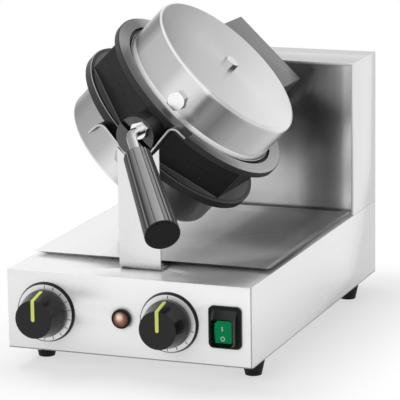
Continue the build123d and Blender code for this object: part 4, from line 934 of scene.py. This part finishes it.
@dataclass
class SubAssembly:
    """Pieces that are dressed and added together."""

    weld: float = 0.001 * MM
    flat: float = radians(0.4)
    sharp: float = radians(28)
    rounding_steps: int = 2

    def dress(self, finish: "Stock | Finish", *nodes: str) -> None:
        """Gives CAD nodes a finish.

        Args:
            finish: The finish.
            nodes: The nodes' names.
        """
        for name in nodes:
            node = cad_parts[name]
            node.data.materials.clear()
            node.data.materials.append(paintshop.material(finish))
            log.info("%s dressed as %s", name, node.data.materials[0].name)

    def add(
        self, name: str, shape: Shape, finish: Stock, body: str, slot: str, lies: Matrix | None = None
    ) -> bpy.types.Object:
        """Adds a new piece.

        Args:
            name: The piece's name.
            shape: Its shape, which is freed.
            finish: Its finish.
            body: The CAD body that it rides on.
            slot: A material slot's name; it is not used.
            lies: The piece's own frame, in which its shape is given; the model's where it is left out.

        Returns:
            The piece.
        """
        mesh = bpy.data.meshes.new(name)
        shape.to_mesh(mesh)
        shape.free()
        mesh.materials.append(paintshop.material(finish))
        piece = bpy.data.objects.new(name, mesh)
        bpy.context.scene.collection.objects.link(piece)
        if lies:
            piece.matrix_world = lies
            bpy.context.view_layer.update()
        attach(piece, body)
        log.info("%s rides on %s", name, body)
        return piece

    def skin(self, shape: Shape, rows: list[list[bmesh.types.BMVert]], closed: bool) -> None:
        """Joins rows of points, each of them a loop, by faces.

        Args:
            shape: The shape that the points are in.
            rows: The rows in order.
            closed: Whether the last row is joined to the first.
        """
        for first, second in zip(rows, rows[1:] + (rows[:1] if closed else [])):
            for n, point in enumerate(first):
                after = (n + 1) % len(first)
                shape.faces.new((point, first[after], second[after], second[n]))

    def soften(
        self, node: str, width: float, finish: Stock, body: str, slot: str, lies: Matrix | None = None
    ) -> None:
        """Stands a copy with fine rounded edges in a CAD node's place.

        Args:
            node: The node that the piece replaces.
            width: How wide the rounding is, in metres.
            finish: Its finish.
            body: The CAD body that it rides on.
            slot: A material slot's name, passed on to add, which does not use it.
            lies: The piece's own frame; the model's where it is left out.
        """
        shape = bmesh.new()
        shape.from_mesh(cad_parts[node].data)
        if lies:
            shape.transform(lies.inverted())
        bmesh.ops.remove_doubles(shape, verts=shape.verts, dist=self.weld)
        bmesh.ops.dissolve_limit(shape, angle_limit=self.flat, verts=shape.verts, edges=shape.edges)
        for face in shape.faces:
            face.smooth = True
        piece = self.add(f"{node}_edged", shape, finish, body, slot, lies)
        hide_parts(node)
        bevel = piece.modifiers.new("fine_edges", "BEVEL")
        bevel.width = width
        bevel.segments = self.rounding_steps
        bevel.angle_limit = self.sharp
        bevel.use_clamp_overlap = True
        bevel.harden_normals = True


@dataclass
class Housing(SubAssembly):
    """Base, column, feet and what fastens them, and the drip tray on the deck."""

    edge: float = 0.45 * MM
    shell_edge: float = 0.36 * MM
    tray_edge: float = 0.3 * MM
    body: str = "base"

    def build(self) -> None:
        """Dresses the sheet metal, with fine edges on what shows."""
        slot = "stainless_brushed"
        self.soften("front_panel", self.edge, Stock.PANEL, self.body, slot)
        self.soften("base_shell", self.shell_edge, Stock.SHELL, self.body, slot)
        self.soften("column_shell", self.edge, Stock.COLUMN, self.body, slot)
        self.dress(Stock.MIRROR, "column_panel")
        self.dress(Stock.REAR, "rear_cover", "bottom_plate", "bearing_bracket")
        self.dress(Stock.SCREW, "base_screws", "rear_screws", "foot_screws", "post_screws")
        feet = [f"foot_{end}_{side}" for end in ("front", "rear") for side in ("left", "right")]
        self.dress(Stock.RUBBER, *feet, "cable_gland")
        self.dress(Stock.CREAM, "terminal_block")
        front_to_back = Matrix((Z, X, Y)).to_4x4()
        self.soften("drip_tray", self.tray_edge, Stock.TRAY, "tray", "stainless_mirror", front_to_back)


@dataclass
class Carriage(SubAssembly):
    """What carries the iron: the front post and its cradle, and the bearing in the column."""

    post_edge: float = 0.4 * MM
    strip_edge: float = 0.35 * MM
    body: str = "base"

    def build(self) -> None:
        """Dresses the post, the bent strip and the bearing."""
        slot = "stainless_brushed"
        self.soften("front_post", self.post_edge, Stock.POST, self.body, slot)
        self.soften("cradle", self.strip_edge, Stock.CRADLE, self.body, slot)
        self.dress(Stock.BEARING, "shaft_bearing")
        self.dress(Stock.BUSH, "bearing_bush")
        self.dress(Stock.SCREW, "bearing_screws")


@dataclass
class Irons(SubAssembly):
    """The two halves of the iron with their covers, elements and the hinge between them."""

    cover_radius: float = 85.5 * MM
    cover_height: float = 44 * MM
    sheet: float = 1.2 * MM
    rounding: float = 6 * MM
    flare: float = 1.2 * MM
    flare_height: float = 5 * MM
    opening: float = 4.5 * MM
    upper_seat: float = 25.7 * MM
    lower_seat: float = 26.4 * MM
    hinge_edge: float = 0.4 * MM
    crease: float = radians(25)
    bend_steps: int = 8
    sides: int = 144

    def build(self) -> None:
        """Dresses the castings and stands the spun covers over them."""
        self.dress(Stock.CASTING, "upper_pan", "lower_pan")
        self.cover("upper_cover", Stock.UPPER_COVER, "lid", IRON.lies(1, self.upper_seat))
        self.cover("lower_cover", Stock.LOWER_COVER, "iron", IRON.lies(-1, self.lower_seat))
        self.dress(Stock.ELEMENT, "upper_element", "lower_element")
        self.dress(Stock.CLAMP, "upper_element_clamp", "lower_element_clamp")
        self.dress(Stock.BOLT, "upper_cover_bolts")
        self.dress(Stock.DULL_BOLT, "lower_cover_bolts", "hinge_pin", "hinge_pin_clip")
        self.dress(Stock.SCREW, "yoke_screws", "shaft_collar", "pivot_shaft")
        self.soften("hinge_box", self.hinge_edge, Stock.HINGE, "lid", "hinge_steel")
        self.soften("hinge_yoke", self.hinge_edge, Stock.YOKE, "iron", "yoke_steel")

    def bend(self, radius: float, top: float, rounding: float) -> list[Pair]:
        """A quarter round between a cover's wall and its crown.

        Args:
            radius: The wall's radius.
            top: The crown's height.
            rounding: The round's radius.

        Returns:
            The radius and height of each of its points, from the wall up.
        """
        turns = [step * pi / 2 / self.bend_steps for step in range(self.bend_steps + 1)]
        return [(radius - rounding * (1 - cos(turn)), top - rounding * (1 - sin(turn))) for turn in turns]

    def cover(self, node: str, finish: Stock, body: str, lies: Matrix) -> None:
        """Spins a cover of sheet steel with a small bead round its foot.

        Args:
            node: The node that it replaces.
            finish: Its finish.
            body: The CAD body that it rides on.
            lies: Its own frame, with its axis as Z and its seat at 0.
        """
        radius, top, inner = self.cover_radius, self.cover_height, self.cover_radius - self.sheet
        under = top - self.sheet
        foot = radius + self.flare
        line = [(inner, 0), (foot, 0), (foot, self.flare), (radius, self.flare_height)]
        line += self.bend(radius, top, self.rounding)
        line += [(radius / 2, top), (self.opening, top), (self.opening, under)]
        line += self.bend(inner, under, self.rounding - self.sheet)[::-1]
        shape = bmesh.new()
        turns = [2 * pi * n / self.sides for n in range(self.sides)]
        rings = [
            [shape.verts.new((reach * cos(turn), reach * sin(turn), height)) for turn in turns]
            for reach, height in line
        ]
        self.skin(shape, rings, closed=True)
        bmesh.ops.recalc_face_normals(shape, faces=shape.faces)
        for face in shape.faces:
            face.smooth = True
        for edge in shape.edges:
            edge.smooth = edge.calc_face_angle(0.0) < self.crease
        piece = self.add(f"{node}_spun", shape, finish, body, "cover_steel", lies)
        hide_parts(node)


@dataclass
class Handle(SubAssembly):
    """Bent rod, nut, fluted grip and end cap."""

    def build(self) -> None:
        """Dresses the handle."""
        self.dress(Stock.ROD, "handle_rod")
        self.dress(Stock.BOLT, "handle_nut")
        self.dress(Stock.GRIP, "handle_grip")
        self.dress(Stock.CAP, "handle_cap")


@dataclass
class Controls(SubAssembly):
    """Two knobs over printed dials, a signal lamp and the rocker switch under its boot.

    The rocker's pivot is given by how far it lies to the right, behind the panel and up, and the size of its
    on mark by width and height.
    """

    face_radius: float = 18.5 * MM
    skirt: float = 4.6 * MM
    corner: float = 1.2 * MM
    pointer_width: float = 3.5 * MM
    pointer_proud: float = 0.3 * MM
    pointer_steps: int = 6
    pointer_tip: float = 0.02 * MM
    mark_width: float = 0.7 * MM
    mark_share: float = 0.7
    ink: float = 0.06 * MM
    thermostat_marks: tuple[float, ...] = tuple(20.2 * n for n in range(12))
    timer_marks: tuple[float, ...] = (0, 104, 134, 160, 182)
    rocker_tilt: float = 7.0
    rocker_face: float = 10.0 * MM
    rocker_pivot: Place = (98.5 * MM, 1.0 * MM, 55.2 * MM)
    rocker_mark: float = 4.94 * MM
    on_size: Pair = (0.9 * MM, 4.2 * MM)
    off_radii: Pair = (1.4 * MM, 2.1 * MM)
    off_stretch: float = 1.2
    off_sides: int = 28

    def build(self) -> None:
        """Dresses the controls and adds what is printed on them."""
        for name, marks in (("thermostat", self.thermostat_marks), ("timer", self.timer_marks)):
            self.dress(Stock.BLACK, f"{name}_bezel")
            self.dress(Stock.DIAL, f"{name}_dial")
            self.dress(Stock.KNOB, f"{name}_knob")
            self.dress(Stock.SCREW, f"{name}_spindle")
            self.dress(Stock.CONTROL, f"{name}_body")
            self.pointer(name)
            self.marks(name, marks)
        self.dress(Stock.BLACK, "lamp_holder", "switch_frame")
        self.dress(Stock.GREEN, "rocker")
        self.dress(Stock.BOOT, "switch_boot")
        low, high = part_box("lamp_lens")
        middle = ((low.x + high.x) / 2, low.y, (low.z + high.z) / 2)
        self.dress(LampLens("lens_amber", middle, (high.x - low.x) / 2), "lamp_lens")
        self.rocker_marks()

    def ribbon(self, stations: Sequence[tuple[Vector, Vector, float]], side: Vector, sink: float) -> Shape:
        """A closed flat band along a line.

        Args:
            stations: The line's points, the direction that the band faces there and half its width.
            side: The direction across the band.
            sink: How deep the band reaches under its line.

        Returns:
            The band's shape.
        """
        shape = bmesh.new()
        rows = []
        for point, out, half in stations:
            corners = ((-half, 0), (half, 0), (half, -sink), (-half, -sink))
            rows.append([shape.verts.new(point + side * across + out * level) for across, level in corners])
        self.skin(shape, rows, closed=False)
        shape.faces.new(rows[0][::-1])
        shape.faces.new(rows[-1])
        bmesh.ops.recalc_face_normals(shape, faces=shape.faces)
        return shape

    def pointer(self, name: str) -> None:
        """Adds the painted pointer that runs up a knob's face and back along its flank.

        Args:
            name: The control that the knob belongs to.
        """
        low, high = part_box(f"{name}_knob")
        middle = Vector(((low.x + high.x) / 2, 0, (low.z + high.z) / 2))
        base_radius = (high.x - low.x) / 2
        front = low.y
        flank = Vector((0, high.y - self.skirt - front, base_radius - self.face_radius))
        slope = flank.normalized()
        turn = acos(slope.z)
        set_back = self.corner * tan(turn / 2)
        face = Vector((0, -1, 0))
        side_out = Vector((0, -slope.z, slope.y))
        half = self.pointer_width / 2
        steps = range(self.pointer_steps + 1)
        quarter = [step * pi / 2 / self.pointer_steps for step in steps]
        stations = []
        for turned in quarter:
            width = half * sin(turned) + self.pointer_tip
            stations.append((Vector((0, front, -half * cos(turned))), face, width))
        corner_point = Vector((0, front, self.face_radius))
        bend_start = corner_point - Vector((0, 0, set_back))
        bend_end = corner_point + slope * set_back
        centre = bend_start + Vector((0, self.corner, 0))
        for step in steps:
            out = face.slerp(side_out, step / self.pointer_steps)
            stations.append((centre + out * self.corner, out, half))
        length = flank.length - set_back - half
        for turned in quarter:
            reach = length - half * (1 - sin(turned))
            width = half * cos(turned) + self.pointer_tip
            stations.append((bend_end + slope * reach, side_out, width))
        placed = [(middle + point + out * self.pointer_proud, out, width) for point, out, width in stations]
        shape = self.ribbon(placed, Vector(X), 2 * self.pointer_proud)
        self.add(f"{name}_pointer", shape, Stock.POINTER, f"{name}_control", "knob_black")

    def bar(self, shape: Shape, middle: Vector, size: Vector, turned: Matrix) -> None:
        """Adds a small printed bar to a shape."""
        scale = Matrix.Diagonal((*size, 1))
        bmesh.ops.create_cube(shape, size=1, matrix=Matrix.Translation(middle) @ turned.to_4x4() @ scale)

    def marks(self, name: str, angles: Sequence[float]) -> None:
        """Prints the marks round a dial.

        Args:
            name: The control that the dial belongs to.
            angles: The turn of each mark in degrees, clockwise from the top.
        """
        low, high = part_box(f"{name}_dial")
        knob_low, knob_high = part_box(f"{name}_knob")
        middle = Vector(((low.x + high.x) / 2, low.y - self.ink / 2, (low.z + high.z) / 2))
        inner, outer = (knob_high.x - knob_low.x) / 2, (high.x - low.x) / 2
        ring = (inner + outer) / 2
        shape = bmesh.new()
        size = Vector((self.mark_width, self.ink, (outer - inner) * self.mark_share))
        for angle in angles:
            turned = Matrix.Rotation(radians(angle), 3, "Y")
            self.bar(shape, middle + turned @ Vector((0, 0, ring)), size, turned)
        self.add(f"{name}_marks", shape, Stock.INK, "base", "dial_silver")

    def rocker_marks(self) -> None:
        """Prints the on and off marks on the rocker's two slopes."""
        width, height = self.on_size
        x, behind, z = self.rocker_pivot
        pivot = Vector((x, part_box("front_panel")[0].y + behind, z))
        base = Matrix.Rotation(radians(self.rocker_tilt), 3, "X")
        ridge = pivot + base @ Vector((0, -self.rocker_face, 0))
        shape = bmesh.new()
        for sign, lean in ((1, 0.0), (-1, 2 * self.rocker_tilt)):
            turned = Matrix.Rotation(radians(lean), 3, "X")
            out, up = turned @ Vector((0, -1, 0)), turned @ Vector(Z)
            spot = ridge + up * sign * self.rocker_mark + out * self.ink / 2
            if sign > 0:
                self.bar(shape, spot, Vector((width, self.ink, height)), turned)
            else:
                self.ring(shape, spot, turned)
        self.add("rocker_marks", shape, Stock.WHITE, "switch_rocker", "rocker_green")

    def ring(self, shape: Shape, middle: Vector, turned: Matrix) -> None:
        """Adds a small printed ring, taller than it is wide, to a shape.

        Args:
            shape: The shape.
            middle: The ring's middle.
            turned: How the ring is turned.
        """
        inner, outer = self.off_radii
        profile = ((inner, -1), (outer, -1), (outer, 1), (inner, 1))
        rows = []
        for step in range(self.off_sides):
            angle = 2 * pi * step / self.off_sides
            spots = [
                Vector((radius * cos(angle), side * self.ink / 2, self.off_stretch * radius * sin(angle)))
                for radius, side in profile
            ]
            rows.append([shape.verts.new(middle + turned @ spot) for spot in spots])
        self.skin(shape, rows, closed=True)


# Studio


@dataclass
class Studio:
    """Pale floor, soft lamps, white surroundings and the camera of the picture.

    The eye is given in metres to the right of the middle, before the front panel and up. The floor keeps the
    machine's shadow as far as it reaches, and shows white beyond.
    """

    eye: Place = (0.91057, 2.193268, 0.70332)
    yaw: float = 20.8618
    pitch: float = -12.5923
    roll: float = -0.7916
    lens: float = 232.96
    sensor: float = 36.0
    floor_size: float = 14.0
    floor_tone: float = 0.90
    floor_white: float = 0.55
    shadow_reach: float = 0.13
    sky: float = 0.55
    aim: Place = (0, 0, 0.15)

    def build(self) -> None:
        """Builds the studio round the machine."""
        self.camera()
        self.floor()
        self.surroundings()
        self.lamp("key_lamp", place=(-0.75, 0.15, 1.35), size=(1.1, 0.55), power=7.0)
        self.lamp("fill_lamp", place=(-0.6, -2.4, 1.2), size=(1.4, 1.0), power=16.0)

    def camera(self) -> None:
        """Places the camera before the front panel and makes it the scene's own."""
        yaw, pitch, roll = radians(self.yaw), radians(self.pitch), radians(self.roll)
        ahead = Vector((-sin(yaw) * cos(pitch), cos(yaw) * cos(pitch), sin(pitch)))
        level = ahead.cross(Vector(Z)).normalized()
        above = level.cross(ahead)
        right = level * cos(roll) + above * sin(roll)
        up = above * cos(roll) - level * sin(roll)
        x, before, z = self.eye
        eye = Vector((x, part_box("front_panel")[0].y - before, z))
        data = bpy.data.cameras.new("picture_camera")
        data.lens = self.lens
        data.sensor_width = self.sensor
        data.sensor_fit = "HORIZONTAL"
        camera = bpy.data.objects.new("picture_camera", data)
        camera.matrix_world = Matrix.Translation(eye) @ Matrix((right, up, -ahead)).transposed().to_4x4()
        bpy.context.scene.collection.objects.link(camera)
        bpy.context.scene.camera = camera

    def seen(self, recipe: Recipe) -> Value:
        """Tells the rays that show a surface from those that light others.

        Args:
            recipe: The tree that its nodes go into.

        Returns:
            1 for rays from the camera, from gloss and through glass, and 0 for the rest.
        """
        names = ("Is Camera Ray", "Is Glossy Ray", "Is Transmission Ray")
        camera, gloss, glass = (recipe.node("ShaderNodeLightPath", output=name) for name in names)
        return camera.most(gloss).most(glass)

    def floor(self) -> None:
        """Lays a pale floor that keeps the machine's shadow and runs out to white."""
        shape = bmesh.new()
        bmesh.ops.create_grid(shape, x_segments=1, y_segments=1, size=self.floor_size / 2)
        mesh = bpy.data.meshes.new("studio_floor")
        shape.to_mesh(mesh)
        shape.free()
        material = bpy.data.materials.new("studio_floor")
        material.use_nodes = True
        recipe = Recipe(material.node_tree)
        low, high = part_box("base_shell")
        beside = (abs(recipe.along(X)) - high.x).most(0.0)
        before = (abs(recipe.along(Y) - (low.y + high.y) / 2) - (high.y - low.y) / 2).most(0.0)
        far = ((beside * beside + before * before) ** 0.5).ease(0.0, self.shadow_reach)
        lit = recipe.shader(Base_Color=(self.floor_tone,) * 3, Roughness=0.9, Specular_IOR_Level=0.1)
        white = recipe.node("ShaderNodeEmission", {"Color": (1, 1, 1), "Strength": 1.0})
        share = self.seen(recipe) * (self.floor_white + far * (1 - self.floor_white))
        recipe.finish(recipe.node("ShaderNodeMixShader", {0: share, 1: lit, 2: white}))
        mesh.materials.append(material)
        floor = bpy.data.objects.new("studio_floor", mesh)
        bpy.context.scene.collection.objects.link(floor)

    def surroundings(self) -> None:
        """White all round for what the camera and the gloss see, and a plain soft light for the rest."""
        world = bpy.data.worlds.new("studio")
        bpy.context.scene.world = world
        world.use_nodes = True
        recipe = Recipe(world.node_tree)
        strength = self.sky + self.seen(recipe) * (1 - self.sky)
        light = recipe.node("ShaderNodeBackground", {"Color": (1, 1, 1), "Strength": strength})
        recipe.finish(light, "ShaderNodeOutputWorld")

    def lamp(self, name: str, place: Place, size: Pair, power: float) -> None:
        """Hangs a soft lamp that looks at the machine.

        Args:
            name: The lamp's name.
            place: Where it hangs.
            size: Its width and height in metres.
            power: Its power in watts.
        """
        data = bpy.data.lights.new(name, "AREA")
        data.shape = "RECTANGLE"
        data.size, data.size_y = size
        data.energy = power
        lamp = bpy.data.objects.new(name, data)
        lamp.location = place
        beam = Vector(self.aim) - Vector(place)
        lamp.rotation_mode = "QUATERNION"
        lamp.rotation_quaternion = beam.to_track_quat("-Z", "Y")
        lamp.visible_glossy = False
        bpy.context.scene.collection.objects.link(lamp)


def main() -> None:
    """Builds the studio and dresses every sub-assembly."""
    logging.basicConfig(level=logging.INFO, format="%(name)s: %(message)s")
    bpy.context.scene.view_settings.view_transform = "Standard"
    Studio().build()
    for assembly in (Housing(), Carriage(), Irons(), Handle(), Controls()):
        assembly.build()
        log.info("%s is finished", type(assembly).__name__)


if __name__ == "__main__":
    main()
